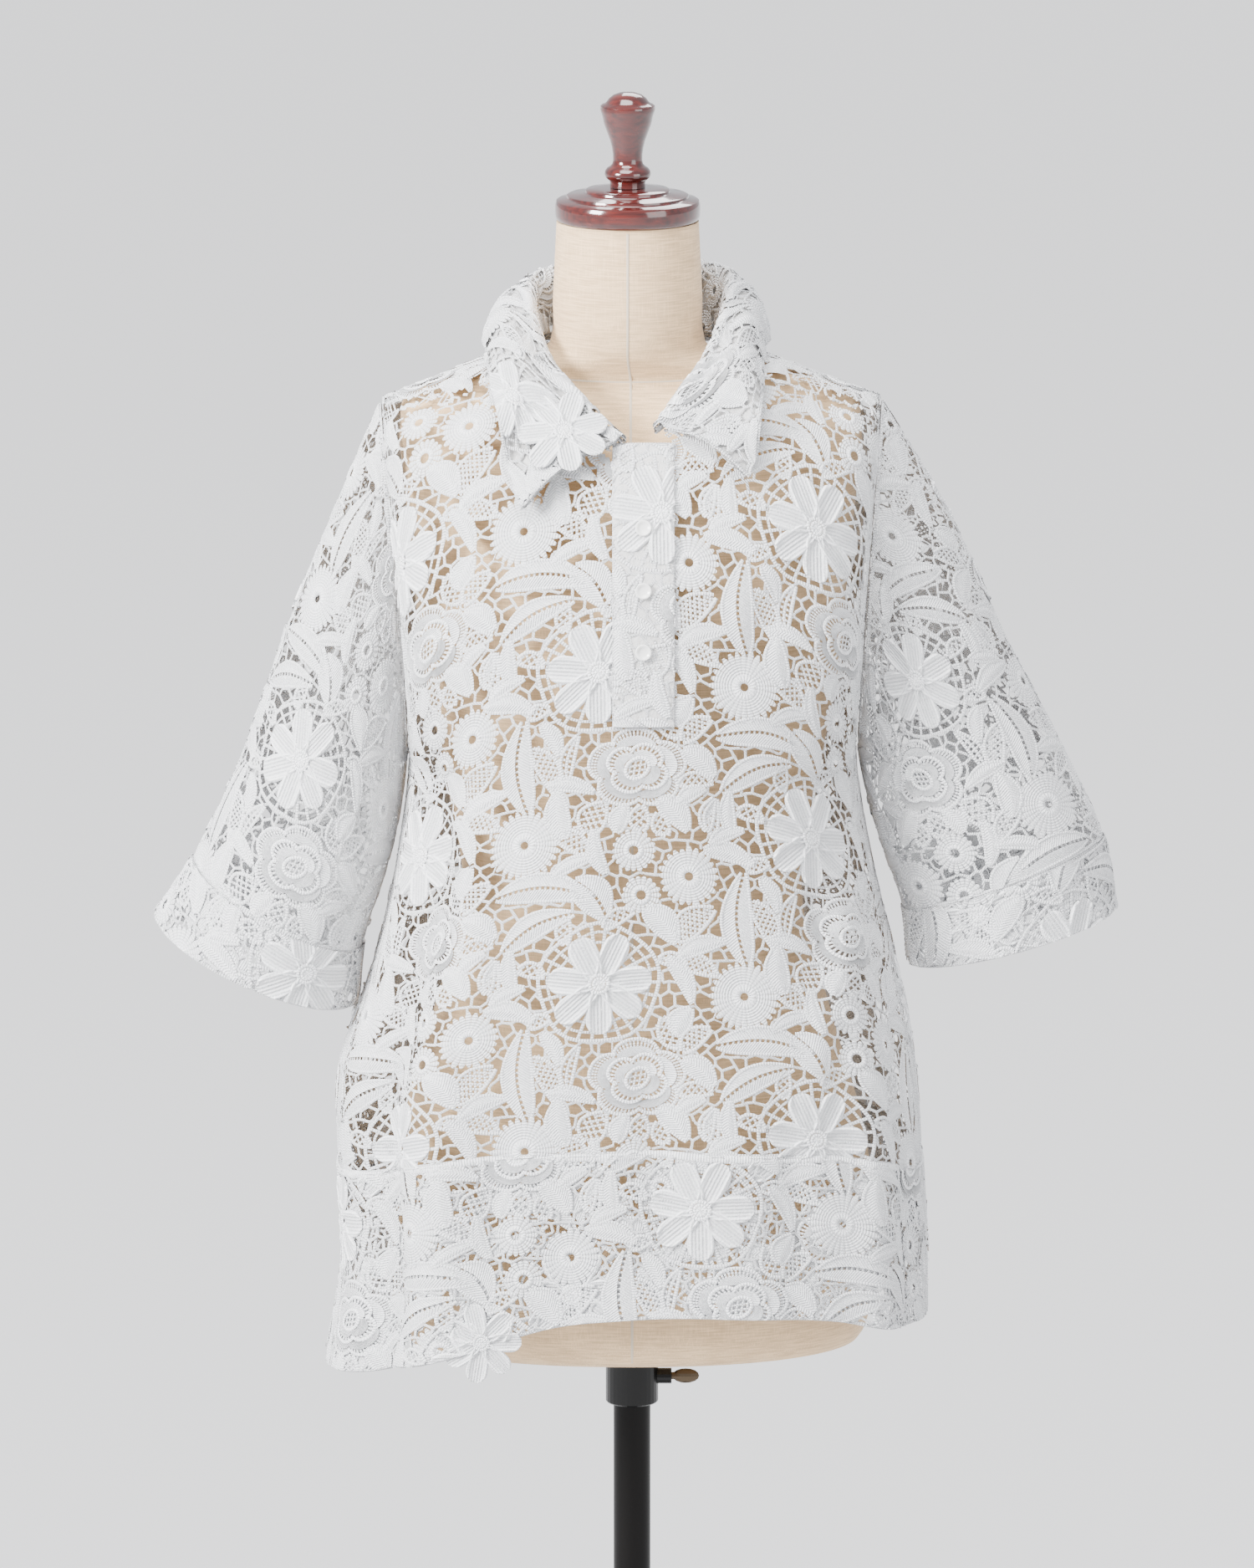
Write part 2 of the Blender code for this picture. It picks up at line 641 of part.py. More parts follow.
def sag(cloth, across, up):
    """How far the cloth sinks at most below straight lines between a daisy's rings of points."""
    outline = daisy_outline()
    worst = 0
    for inner, outer in ((0, DAISY_MIDDLE_SHARE), (DAISY_MIDDLE_SHARE, 1)):
        ends = []
        for share in (inner, outer, (inner + outer) / 2):
            row, column = cloth.find(outline[:, 0] * share + across, outline[:, 1] * share + up)
            ends.append(cloth.place(row, column, 0))
        normals = cloth.sample(cloth.normals, row, column)
        worst = max(worst, (((ends[0] + ends[1]) / 2 - ends[2]) * normals).sum(axis=1).max())
    return worst


def daisy_centres(cloth, taken):
    """The repeat's daisies that lie wholly on flat enough parts of the piece, with nothing sewn over them."""
    return [
        (across, up)
        for across, up in repeat_places(cloth)
        if cloth.margin(*one_place(cloth, across, up)) > DAISY_RADIUS + SEAM_GAP
        and sag(cloth, across, up) < DAISY_MOST_SAG
        and not taken(across, up, DAISY_RADIUS)
    ]


def gap_centres(cloth, daisies, taken):
    """The repeat's widest gaps on the piece, clear of its edges, its daisies and what is sewn over it."""
    found = []
    for start_across, start_up in repeat_places(cloth):
        for row in REPEAT_GAPS:
            gap = dict(zip(GAP_COLUMNS, row))
            across, up = start_across + gap["across"], start_up + gap["up"]
            reach = max(gap["width"], gap["height"]) / 2
            margin = cloth.margin(*one_place(cloth, across, up))
            if margin < reach + EDGE_MARGIN or taken(across, up, reach):
                continue
            if all(math.hypot(across - a, up - u) > DAISY_RADIUS + reach + SEAM_GAP for a, u in daisies):
                found.append((across, up, gap["width"], gap["height"]))
    return found


def sew_cloth(
    cloth, thickness, finish, nodes, cutters, missing=None, taken=None, extra_daisies=(), gaps=True
):
    """One piece of lace: its wall, the thick daisies raised on it, and the gaps cut through it."""
    missing = missing or (lambda row, column: False)
    taken = taken or (lambda across, up, reach: False)
    bm = sheet_mesh(cloth.points, missing)
    point_outwards(bm, cloth.points, cloth.normals)
    made = add_object(cloth.name, bm, finish, nodes)
    thicken(made, thickness)
    daisies = daisy_centres(cloth, taken) + list(extra_daisies)
    if daisies:
        combine(made, raised_daisies(cloth, daisies, thickness, cutters), "UNION")
    holes = gap_centres(cloth, daisies, taken) if gaps else []
    if holes:
        combine(made, gap_cutters(cloth, holes, cutters), "DIFFERENCE")
    return made


def body_cloth(name, side, columns, downs, seam_row):
    points = body_point(side, columns[None, :], np.asarray(downs)[:, None])
    return Cloth(name, points, seam_row, -side)


def build_body(lace, nodes, cutters):
    """Front and back panels, the placket's slot in the front, and the hem band in two lengths."""
    front_columns = even_columns(FRONT, FRONT_STEPS)
    reach = float(half_width(SLOT_MIDDLE_Z, 1.0))
    slot = np.array([PLACKET_X - SLOT_HALF_WIDTH, PLACKET_X + SLOT_HALF_WIDTH]) / reach
    clear = np.ptp(slot) / 2 + COLUMNS_BESIDE_SLOT
    front_columns = front_columns[np.abs(front_columns - slot.mean()) > clear]
    front_columns = np.sort(np.concatenate([front_columns, slot]))
    slot_column = int(np.searchsorted(front_columns, slot[0]))
    top_z = float(body_point(FRONT, slot.mean(), 0.0)[2])
    seam_z = float(body_point(FRONT, slot.mean(), 1.0)[2])
    slot_down = (top_z - SLOT_BOTTOM_Z) / (top_z - seam_z)
    slot_rows = SLOT_STEPS
    below = np.linspace(slot_down, 1, BELOW_SLOT_POINTS)[1:]
    downs = np.concatenate([np.linspace(0, slot_down, slot_rows + 1), below])
    downs = np.concatenate([RIDGE_ROWS, downs[1:]])
    slot_rows += len(RIDGE_ROWS) - 1
    front = body_cloth("front", FRONT, front_columns, downs, len(downs) - 1)
    slot_foot = foot_of_slot(front, slot_column, slot_rows)

    def under_placket(across, up, reach):
        near = abs(across - slot_foot[0]) < PLACKET_HALF_WIDTH + reach + SEAM_GAP
        return near and up > slot_foot[1] - reach - PLACKET_FOOT

    sew_cloth(
        front,
        LACE,
        lace,
        nodes,
        cutters,
        missing=lambda row, column: column == slot_column and row < slot_rows,
        taken=under_placket,
    )
    build_placket(front, slot_column, slot_rows, lace, nodes)

    back_columns = even_columns(BACK, BACK_STEPS)
    downs = np.concatenate([RIDGE_ROWS, np.linspace(BACK_ROWS_START, 1, BACK_POINTS_DOWN)])
    back = body_cloth("back", BACK, back_columns, downs, len(downs) - 1)
    sew_cloth(back, LACE, lace, nodes, cutters)

    band_downs = np.linspace(1 + BAND_GAP_SHARE, 2, BAND_POINTS_DOWN)
    hem_front = body_cloth("hem_front", FRONT, front_columns, band_downs, 0)
    sew_cloth(hem_front, DOUBLE_LACE, lace, nodes, cutters, extra_daisies=[HEM_DAISY], gaps=False)
    hem_back = body_cloth("hem_back", BACK, back_columns, band_downs, 0)
    sew_cloth(hem_back, DOUBLE_LACE, lace, nodes, cutters, gaps=False)
    return front, back


def foot_of_slot(cloth, column, row):
    """Flat place of the middle of the slot's lower edge."""
    across = cloth.flat_across[row, column : column + 2].mean()
    return across, cloth.flat_up[row, column : column + 2].mean()


def build_placket(front, slot_column, slot_rows, lace, nodes):
    """Overlap and underlap strips, made from the front's points moved out and in, and the buttons."""
    def strip(name, half, top_z, bottom_z, out, thickness):
        levels = front.points[:, slot_column, 2]
        levels = [top_z] + [z for z in levels if bottom_z + LAP_GAP < z < top_z - LAP_GAP] + [bottom_z]
        slot_edges = front.points[slot_rows, slot_column : slot_column + 2, 0]
        points = []
        for z in levels:
            line = []
            for x in (PLACKET_X - half, *slot_edges, PLACKET_X + half):
                row, column = front_place(front, x, z, slot_column, slot_rows)
                line.append(front.place(row, column, out))
            points.append(line)
        points = np.array(points)
        cloth = Cloth(name, points, 0, -FRONT)
        bm = sheet_mesh(points)
        point_outwards(bm, points, cloth.normals)
        thicken(add_object(name, bm, lace, nodes), thickness)
        return cloth

    ends = PLACKET_TOP_Z, PLACKET_BOTTOM_Z
    over = strip("placket_over", PLACKET_HALF_WIDTH, *ends, LACE + PLACKET_GAP, DOUBLE_LACE)
    ends = PLACKET_TOP_Z, PLACKET_BOTTOM_Z + UNDERLAP_RISE
    strip("placket_under", UNDERLAP_HALF_WIDTH, *ends, -LAP_GAP - LACE, LACE)
    shell = material("shell_button", (0.93, 0.92, 0.90), 0.25)
    over_z = over.points[:, 1, 2]
    for number, z in enumerate(BUTTON_Z, start=1):
        row = np.interp([-z], -over_z, np.arange(len(over_z)))
        column = np.array([over.columns / 2])
        middle = over.place(row, column, DOUBLE_LACE + LAP_GAP)[0]
        side, rise, normal = upright_frame(over, row, column)
        bm = bmesh.new()
        bmesh.ops.create_cone(
            bm,
            cap_ends=True,
            segments=16,
            radius1=BUTTON_RADIUS,
            radius2=BUTTON_FACE_RADIUS,
            depth=BUTTON_THICKNESS,
        )
        for vertex in bm.verts:
            x, y, out = vertex.co
            vertex.co = middle + side * x + rise * y + normal * (out + BUTTON_THICKNESS / 2)
        bm.normal_update()
        bmesh.ops.recalc_face_normals(bm, faces=bm.faces)
        add_object(f"button_{number}", bm, shell, nodes)


def front_place(front, x, z, slot_column, slot_rows):
    """Fractional row and column of the front's point at x and z, near the placket."""
    row, column = slot_rows / 2, slot_column + 0.5
    for _ in range(SOLVER_STEPS):
        here = front.sample(front.points, row, column)
        ahead = front.sample(front.points, row, column + 0.5)[0]
        width = ahead - front.sample(front.points, row, column - 0.5)[0]
        ahead = front.sample(front.points, row + 0.5, column)[2]
        drop = ahead - front.sample(front.points, row - 0.5, column)[2]
        column = float(column + (x - here[0]) / width)
        row = float(row + (z - here[2]) / drop)
    return row, column


def build_sleeves(lace, nodes, cutters):
    """Each sleeve in a front and a back half, and a doubled cuff tube below them."""
    for side, name in ((-1, "right"), (1, "left")):
        rows = RIGHT_SLEEVE if side < 0 else LEFT_SLEEVE
        along = np.linspace(SLEEVE_END_GAP, CUFF_START - SLEEVE_END_GAP, SLEEVE_POINTS_ALONG)
        around = np.linspace(0, 1, SLEEVE_POINTS_AROUND)
        for face, half in ((FRONT, "front"), (BACK, "back")):
            head = SLEEVE_HEAD_EASE[side] * np.clip(np.cos(around * math.pi), 0, 1)
            starts = along[:, None] + head[None, :] * (1 - along[:, None]) ** 4
            points = sleeve_point(side, face, around[None, :], starts)
            cloth = Cloth(f"sleeve_{name}_{half}", points, len(along) - 1, side * face)
            sew_cloth(cloth, LACE, lace, nodes, cutters)
        along = np.linspace(CUFF_START, CUFF_END, CUFF_POINTS_ALONG)
        ring = np.linspace(0, 1, CUFF_POINTS_AROUND)
        front = sleeve_point(side, FRONT, ring[None, :], along[:, None])
        back = sleeve_point(side, BACK, ring[None, ::-1], along[:, None])
        points = np.concatenate([front, back], axis=1)
        bm = sheet_mesh(np.concatenate([points, points[:, :1]], axis=1))
        bmesh.ops.remove_doubles(bm, verts=bm.verts, dist=SEAM_GAP * 1.1)
        bmesh.ops.recalc_face_normals(bm, faces=bm.faces)
        middle = points.reshape(-1, 3).mean(axis=0)
        bm.faces.ensure_lookup_table()
        bm.normal_update()
        inward = sum((np.array(f.calc_center_median()) - middle) @ np.array(f.normal) for f in bm.faces)
        if inward < 0:
            bmesh.ops.reverse_faces(bm, faces=bm.faces)
        thicken(add_object(f"cuff_{name}", bm, lace, nodes), DOUBLE_LACE)


def build_collar(front, back, lace, nodes):
    """One doubled strip, folded over: up inside the neck, round the fold and down over the shoulders."""
    stations = np.linspace(0, 1, COLLAR_STATIONS)
    fold = np.stack([read(COLLAR_COLUMNS, COLLAR, "fold_" + axis, stations) for axis in "xyz"], axis=1)
    edge = np.stack([read(COLLAR_COLUMNS, COLLAR, "edge_" + axis, stations) for axis in "xyz"], axis=1)
    up = np.array([0.0, 0.0, 1.0])
    rows = []
    for f, e in zip(fold, edge):
        away = e - f
        away[2] = 0
        away /= np.linalg.norm(away)
        inner = f - away * COLLAR_FOLD_RADIUS - up * COLLAR_FOLD_RADIUS
        outer = f + away * COLLAR_FOLD_RADIUS - up * COLLAR_FOLD_RADIUS
        neckline = (front if inner[1] < 0 else back).points[0]
        seam = np.array([inner[0]] + [np.interp(inner[0], neckline[:, 0], neckline[:, k]) for k in (1, 2)])
        side_lift = COLLAR_SIDE_LIFT * (abs(inner[0]) / NECK_POINT_X) ** COLLAR_SIDE_LIFT_POWER
        seam += up * (LACE + LAP_GAP + side_lift)
        fall = e - outer
        belly = np.cross(fall, np.cross(away, up))
        belly /= np.linalg.norm(belly)
        if belly @ (away + up) < 0:
            belly = -belly
        rows.append(
            [
                seam,
                (seam + inner) / 2,
                inner,
                f,
                outer,
                outer + fall * COLLAR_UPPER_SHARE + belly * COLLAR_UPPER_BELLY,
                outer + fall * COLLAR_LOWER_SHARE + belly * COLLAR_LOWER_BELLY,
                e,
            ]
        )
    points = np.array(rows)
    bm = sheet_mesh(points)
    middle = points[len(stations) // 2, 5]
    bm.faces.ensure_lookup_table()
    bm.normal_update()
    nearest = min(bm.faces, key=lambda face: np.linalg.norm(np.array(face.calc_center_median()) - middle))
    if nearest.normal.y < 0:
        bmesh.ops.reverse_faces(bm, faces=bm.faces)
    collar = add_object("collar", bm, lace, nodes)
    thicken(collar, COLLAR_WALL)


def spun(name, profile, centre, steps, finish, nodes):
    """A turned solid from a profile that runs down its outer side, from the axis to the axis."""
    bm = bmesh.new()
    corners = [bm.verts.new((radius, 0, z)) for radius, z in profile]
    for first, second in zip(corners, corners[1:]):
        bm.edges.new((first, second))
    made = add_object(name, bm, finish, nodes)
    made.location = (centre, 0, 0)
    turn = made.modifiers.new("turning", "SCREW")
    turn.steps = steps
    turn.render_steps = steps
    turn.use_merge_vertices = True
    turn.merge_threshold = 0.00001
    return made


def build_stand(nodes, cutters):
    """Round base, pole, the socket under the form with its clamp screw."""
    black = material("black_metal", (0.018, 0.016, 0.016), 0.35, 0.6)
    brown = material("dark_brown_pole", (0.035, 0.026, 0.022), 0.32, 0.6)
    bronze = material("dark_bronze", (0.11, 0.085, 0.055), 0.35, 0.8)
    bore = POLE_RADIUS + SEAM_GAP
    profile = [(0, HUB_FLOOR_Z), (bore, HUB_FLOOR_Z), (bore, HUB_TOP_Z)]
    profile += list(BASE_PROFILE) + [(BASE_RADIUS - BASE_FOOT_BEVEL, 0), (0, 0)]
    spun("base_plate", profile, 0, BASE_STEPS, black, nodes)

    bottom = HUB_FLOOR_Z + SEAM_GAP
    profile = [(0, POLE_TOP_Z), (POLE_RADIUS, POLE_TOP_Z), (POLE_RADIUS, bottom), (0, bottom)]
    spun("pole", profile, 0, POLE_STEPS, brown, nodes)

    top = FORM_BOTTOM_Z - SEAM_GAP
    inner = POLE_RADIUS + POLE_SLIDE_GAP
    profile = [
        (inner, SOCKET_BOTTOM_Z),
        (inner, top),
        (SOCKET_RADIUS, top),
        (SOCKET_RADIUS, SOCKET_BOTTOM_Z + SOCKET_CHAMFER),
        (SOCKET_RADIUS - SOCKET_CHAMFER, SOCKET_BOTTOM_Z),
        (inner, SOCKET_BOTTOM_Z),
    ]
    socket = spun("socket", profile, 0, SOCKET_STEPS, black, nodes)
    weld = socket.modifiers.new("closed profile", "WELD")
    weld.merge_threshold = 0.00001
    wall_middle = (inner + SOCKET_RADIUS) / 2
    boss = rod_along_x("socket_boss", wall_middle, BOSS_END_X, BOSS_RADIUS, BOSS_SIDES, None, cutters)
    combine(socket, as_cutter(boss), "UNION")
    clearance = SCREW_RADIUS + SEAM_GAP
    hole_ends = inner - CUTTER_MARGIN, BOSS_END_X + CUTTER_MARGIN
    hole = rod_along_x("screw_hole", *hole_ends, clearance, SCREW_SIDES, None, cutters)
    combine(socket, as_cutter(hole), "DIFFERENCE")

    screw_ends = inner + SCREW_TIP_GAP, BOSS_END_X + SCREW_INTO_THUMB
    screw = rod_along_x("clamp_screw", *screw_ends, SCREW_RADIUS, SCREW_SIDES, bronze, nodes)
    bm = bmesh.new()
    bmesh.ops.create_uvsphere(bm, u_segments=14, v_segments=8, radius=1)
    for vertex in bm.verts:
        vertex.co.x = vertex.co.x * THUMB_LENGTH / 2 + BOSS_END_X + SEAM_GAP + THUMB_LENGTH / 2
        vertex.co.y *= THUMB_HALF_THICKNESS
        vertex.co.z = vertex.co.z * THUMB_HALF_HEIGHT + SCREW_Z
    thumb = add_object("thumb_plate", bm, None, cutters)
    combine(screw, as_cutter(thumb), "UNION")


def rod_along_x(name, start, end, radius, segments, finish, group):
    bm = bmesh.new()
    size = {"radius1": radius, "radius2": radius, "depth": end - start}
    bmesh.ops.create_cone(bm, cap_ends=True, segments=segments, **size)
    for vertex in bm.verts:
        x, y, z = vertex.co
        vertex.co = (z + (start + end) / 2, y, SCREW_Z - x)
    bmesh.ops.recalc_face_normals(bm, faces=bm.faces)
    return add_object(name, bm, finish, group)


def build_form(nodes, cutters):
    """Linen-covered torso with a blind hole for the pole, and the turned neck cap and finial."""
    linen = material("natural_linen", (0.71, 0.62, 0.50), 0.85)
    wood = material("lacquered_wood", (0.16, 0.016, 0.010), 0.15)
    table = np.array(FORM)
    heights = table[:, 0]
    bm = bmesh.new()
    bmesh.ops.create_cone(bm, cap_ends=True, segments=FORM_SEGMENTS, radius1=1, radius2=1, depth=1)
    upright = [edge for edge in bm.edges if abs(edge.verts[0].co.z - edge.verts[1].co.z) > 0.5]
    bmesh.ops.subdivide_edges(bm, edges=upright, cuts=len(heights) - 2)
    for vertex in bm.verts:
        z = heights[round((vertex.co.z + 0.5) * (len(heights) - 1))]
        turn = math.atan2(vertex.co.y, vertex.co.x)
        wide = float(read(FORM_COLUMNS, FORM, "half_width", z))
        deep = float(read(FORM_COLUMNS, FORM, "front" if turn < 0 else "back", z))
        power = float(read(FORM_COLUMNS, FORM, "roundness", z))
        cosine, sine = math.cos(turn), math.sin(turn)
        x = math.copysign(abs(cosine) ** (2 / power), cosine) * wide
        y = math.copysign(abs(sine) ** (2 / power), sine) * deep
        vertex.co = (x + float(read(FORM_COLUMNS, FORM, "centre_x", z)), y, z)
    bmesh.ops.recalc_face_normals(bm, faces=bm.faces)
    torso = add_object("torso", bm, linen, nodes)
    bm = bmesh.new()
    bore = POLE_RADIUS + POLE_SLIDE_GAP
    below = FORM_BOTTOM_Z - CUTTER_MARGIN
    depth = FORM_BORE_TOP_Z - below
    bmesh.ops.create_cone(bm, cap_ends=True, segments=32, radius1=bore, radius2=bore, depth=depth)
    bmesh.ops.translate(bm, verts=bm.verts, vec=(0, 0, below + depth / 2))
    combine(torso, as_cutter(add_object("pole_bore", bm, None, cutters)), "DIFFERENCE")

    for name, profile, bottom, steps in (
        ("neck_cap", CAP_PROFILE, CAP_BOTTOM_Z, CAP_STEPS),
        ("finial", FINIAL_PROFILE, FINIAL_BOTTOM_Z, FINIAL_STEPS),
    ):
        turned = [(0, bottom + profile[-1][1])]
        turned += [(radius, bottom + z) for radius, z in reversed(profile)]
        turned.append((0, bottom))
        spun(name, turned, TURNING_X, steps, wood, nodes)


clear_scene()
node_group = collection(NODE_COLLECTION)
cutter_group = collection(CUTTER_COLLECTION)
white_lace = material("white_lace", (0.93, 0.93, 0.93), 0.7)
build_stand(node_group, cutter_group)
build_form(node_group, cutter_group)
front_panel, back_panel = build_body(white_lace, node_group, cutter_group)
build_sleeves(white_lace, node_group, cutter_group)
build_collar(front_panel, back_panel, white_lace, node_group)
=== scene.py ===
"""Looks of the lace shirt on its dress form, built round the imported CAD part.

Metres, +Z up, and the shirt faces -Y. Right and left are the wearer's: right is -X and left is +X.
"""

import math

import bmesh
import bpy
import numpy as np
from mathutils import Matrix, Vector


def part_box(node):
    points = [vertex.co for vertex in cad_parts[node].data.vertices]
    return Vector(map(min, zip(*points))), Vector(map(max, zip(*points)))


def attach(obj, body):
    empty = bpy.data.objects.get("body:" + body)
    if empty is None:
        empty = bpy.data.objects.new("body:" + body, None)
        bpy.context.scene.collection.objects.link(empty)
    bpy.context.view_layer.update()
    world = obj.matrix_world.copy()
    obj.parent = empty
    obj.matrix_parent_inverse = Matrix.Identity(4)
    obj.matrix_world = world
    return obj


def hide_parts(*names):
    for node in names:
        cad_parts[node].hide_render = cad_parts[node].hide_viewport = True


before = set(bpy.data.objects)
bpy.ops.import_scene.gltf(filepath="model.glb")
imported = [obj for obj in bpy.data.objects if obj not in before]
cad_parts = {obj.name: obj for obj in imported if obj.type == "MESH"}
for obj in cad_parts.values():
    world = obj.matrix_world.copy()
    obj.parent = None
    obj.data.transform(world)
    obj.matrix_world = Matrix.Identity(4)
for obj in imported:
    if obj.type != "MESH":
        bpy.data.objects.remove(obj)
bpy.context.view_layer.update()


# The camera stands a long way off and looks down a little, as in the photograph, so a wide pale floor fills
# the picture behind the shirt. Soft boxes light it from both sides, above and behind.
CAMERA_PLACE = (-0.003457, -7.5, 2.67163)
CAMERA_PITCH = math.radians(11.8)
FOCAL_LENGTH = 258.2
camera_data = bpy.data.cameras.new("camera")
camera_data.lens = FOCAL_LENGTH
camera_data.sensor_width = 36
camera_data.sensor_fit = "AUTO"
camera_data.clip_end = 100
camera = bpy.data.objects.new("camera", camera_data)
camera.location = CAMERA_PLACE
camera.rotation_euler = (math.pi / 2 - CAMERA_PITCH, 0, 0)
bpy.context.scene.collection.objects.link(camera)
bpy.context.scene.camera = camera

FLOOR_COLOUR = (0.20, 0.202, 0.206)
FLOOR_GLOW_COLOUR = (0.985, 0.985, 1.0, 1)
FLOOR_GLOW = 1.30
FLOOR_HALF = 40.0
SKY_COLOUR = (0.93, 0.95, 1.0, 1)
SKY_STRENGTH = 0.92


def plain_material(name, colour, roughness, metallic=0.0, more=()):
    """A material of one colour, with more of its surface's inputs by name."""
    made = bpy.data.materials.new(name)
    made.use_nodes = True
    surface = made.node_tree.nodes["Principled BSDF"]
    surface.inputs["Base Color"].default_value = (*colour, 1)
    surface.inputs["Roughness"].default_value = roughness
    surface.inputs["Metallic"].default_value = metallic
    for key, value in dict(more).items():
        surface.inputs[key].default_value = value
    return made


def new_object(name, bm, finish, smooth=True):
    """An object at the origin from the bmesh, with its material."""
    mesh = bpy.data.meshes.new(name)
    bm.to_mesh(mesh)
    bm.free()
    made = bpy.data.objects.new(name, mesh)
    bpy.context.scene.collection.objects.link(made)
    mesh.materials.append(finish)
    if smooth:
        mesh.shade_smooth()
    return made


bm = bmesh.new()
bmesh.ops.create_grid(bm, x_segments=1, y_segments=1, size=FLOOR_HALF)
glow = {"Emission Color": FLOOR_GLOW_COLOUR, "Emission Strength": FLOOR_GLOW}
pale_floor = plain_material("pale_floor", FLOOR_COLOUR, 0.95, more=glow)
floor = new_object("floor", bm, pale_floor)

LIGHTS = (
    # name, place, where it points, size, power
    ("left_soft_box", (-2.9, -2.2, 2.8), (0, 0, 1.1), 1.3, 520),
    ("right_soft_box", (2.8, -2.6, 2.2), (0, 0, 1.1), 2.2, 62),
    ("top_soft_box", (-0.4, -1.2, 4.2), (0, 0, 1.0), 2.2, 215),
    ("back_soft_box", (0.6, 3.4, 4.4), (0, 1.2, 0.6), 2.4, 150),
)
for name, place, target, size, power in LIGHTS:
    light_data = bpy.data.lights.new(name, "AREA")
    light_data.energy = power
    light_data.shape = "SQUARE"
    light_data.size = size
    light = bpy.data.objects.new(name, light_data)
    aim = np.array(target) - np.array(place)
    light.location = place
    tilt = math.acos(-aim[2] / np.linalg.norm(aim))
    light.rotation_euler = (tilt, 0, math.atan2(aim[1], aim[0]) - math.pi / 2)
    bpy.context.scene.collection.objects.link(light)

world = bpy.data.worlds.new("studio")
world.use_nodes = True
world.node_tree.nodes["Background"].inputs["Color"].default_value = SKY_COLOUR
world.node_tree.nodes["Background"].inputs["Strength"].default_value = SKY_STRENGTH
bpy.context.scene.world = world


# The stand: a heavy round plate base, turned and painted black, with a brown-black tube for a pole let into
# its hub.
BASE_PROFILE = (
    (0.0130, 0.0340),
    (0.0178, 0.0340),
    (0.0190, 0.0325),
    (0.0200, 0.0170),
    (0.0240, 0.0136),
    (0.060, 0.0110),
    (0.155, 0.0080),
    (0.166, 0.0068),
    (0.1695, 0.0040),
    (0.1700, 0.0022),
    (0.1690, 0.0002),
    (0.0, 0.0002),
)


def turned(name, profile, steps, finish, centre=(0, 0)):
    """A turned piece from its outline, which runs down from the axis or the bore."""
    bm = bmesh.new()
    corners = [bm.verts.new((radius, 0, z)) for radius, z in profile]
    edges = [bm.edges.new(pair) for pair in zip(corners, corners[1:])]
    outline = corners + edges
    full_turn = 2 * math.pi
    bmesh.ops.spin(
        bm, geom=outline, cent=(0, 0, 0), axis=(0, 0, 1), angle=full_turn, steps=steps, use_merge=True
    )
    bmesh.ops.remove_doubles(bm, verts=bm.verts, dist=0.00001)
    bmesh.ops.recalc_face_normals(bm, faces=bm.faces)
    bmesh.ops.translate(bm, verts=bm.verts, vec=(*centre, 0))
    made = new_object(name, bm, finish)
    made.data.set_sharp_from_angle(angle=math.radians(35))
    return made


black_paint = plain_material("black_paint", (0.008, 0.0075, 0.0075), 0.3)
base = turned("base_plate_turned", BASE_PROFILE, 96, black_paint)
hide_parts("base_plate")
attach(base, "stand")

brown = (0.0020, 0.0015, 0.0013)
brown_paint = plain_material("brown_black_paint", brown, 0.42, more={"Specular IOR Level": 0.14})
POLE_PROFILE = ((0.0, 1.060), (0.0115, 1.060), (0.0127, 1.0588), (0.0127, 0.0130), (0.0, 0.0130))
pole = turned("pole_tube", POLE_PROFILE, 64, brown_paint)
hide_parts("pole")
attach(pole, "stand")

# Where the pole enters the form: a glossy black socket with a boss on the wearer's left, and a bronze thumb
# screw through the boss that clamps the pole. Both are the CAD's own pieces in better finishes.
black = (0.003, 0.003, 0.003)
socket_finish = plain_material("socket_black", black, 0.26, more={"Specular IOR Level": 0.25})
screw_finish = plain_material("dark_bronze", (0.085, 0.062, 0.04), 0.32, 0.85)
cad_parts["socket"].material_slots[0].material = socket_finish
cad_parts["clamp_screw"].material_slots[0].material = screw_finish


# The dress form: a padded torso in natural linen, tighter at the waist, with a seam down the middle and one
# round the neck's foot. Its sections are the CAD's own, with more sides.
FORM_COLUMNS = ("z", "centre_x", "half_width", "front", "back", "roundness")
FORM = (
    (0.7200, 0.000, 0.156, 0.098, 0.096, 2.2),
    (0.7260, 0.000, 0.160, 0.103, 0.101, 2.2),
    (0.7900, 0.000, 0.166, 0.107, 0.108, 2.2),
    (0.8600, 0.000, 0.160, 0.104, 0.108, 2.2),
    (0.9400, 0.000, 0.138, 0.093, 0.092, 2.1),
    (1.0300, 0.000, 0.116, 0.085, 0.074, 2.1),
    (1.1100, 0.000, 0.127, 0.098, 0.083, 2.1),
    (1.2000, -0.001, 0.143, 0.117, 0.099, 2.2),
    (1.2600, -0.001, 0.148, 0.110, 0.103, 2.3),
    (1.3200, -0.001, 0.154, 0.086, 0.098, 2.4),
    (1.3550, -0.001, 0.1560, 0.058, 0.073, 2.2),
    (1.3774, -0.001, 0.1470, 0.036, 0.048, 2.0),
    (1.3896, -0.001, 0.1130, 0.032, 0.047, 2.0),
    (1.3975, -0.002, 0.0780, 0.037, 0.048, 2.0),
    (1.4050, -0.003, 0.0570, 0.041, 0.049, 2.0),
    (1.4150, -0.003, 0.0515, 0.044, 0.049, 2.0),
    (1.4400, -0.003, 0.0505, 0.047, 0.050, 2.0),
    (1.4930, -0.003, 0.0480, 0.046, 0.048, 2.0),
)
FORM_SIDES = 96
FORM_LEVELS = 150
LINEN = (0.79, 0.56, 0.325)
LINEN_DARK = (0.57, 0.385, 0.215)
THREADS_PER_METRE = 1500


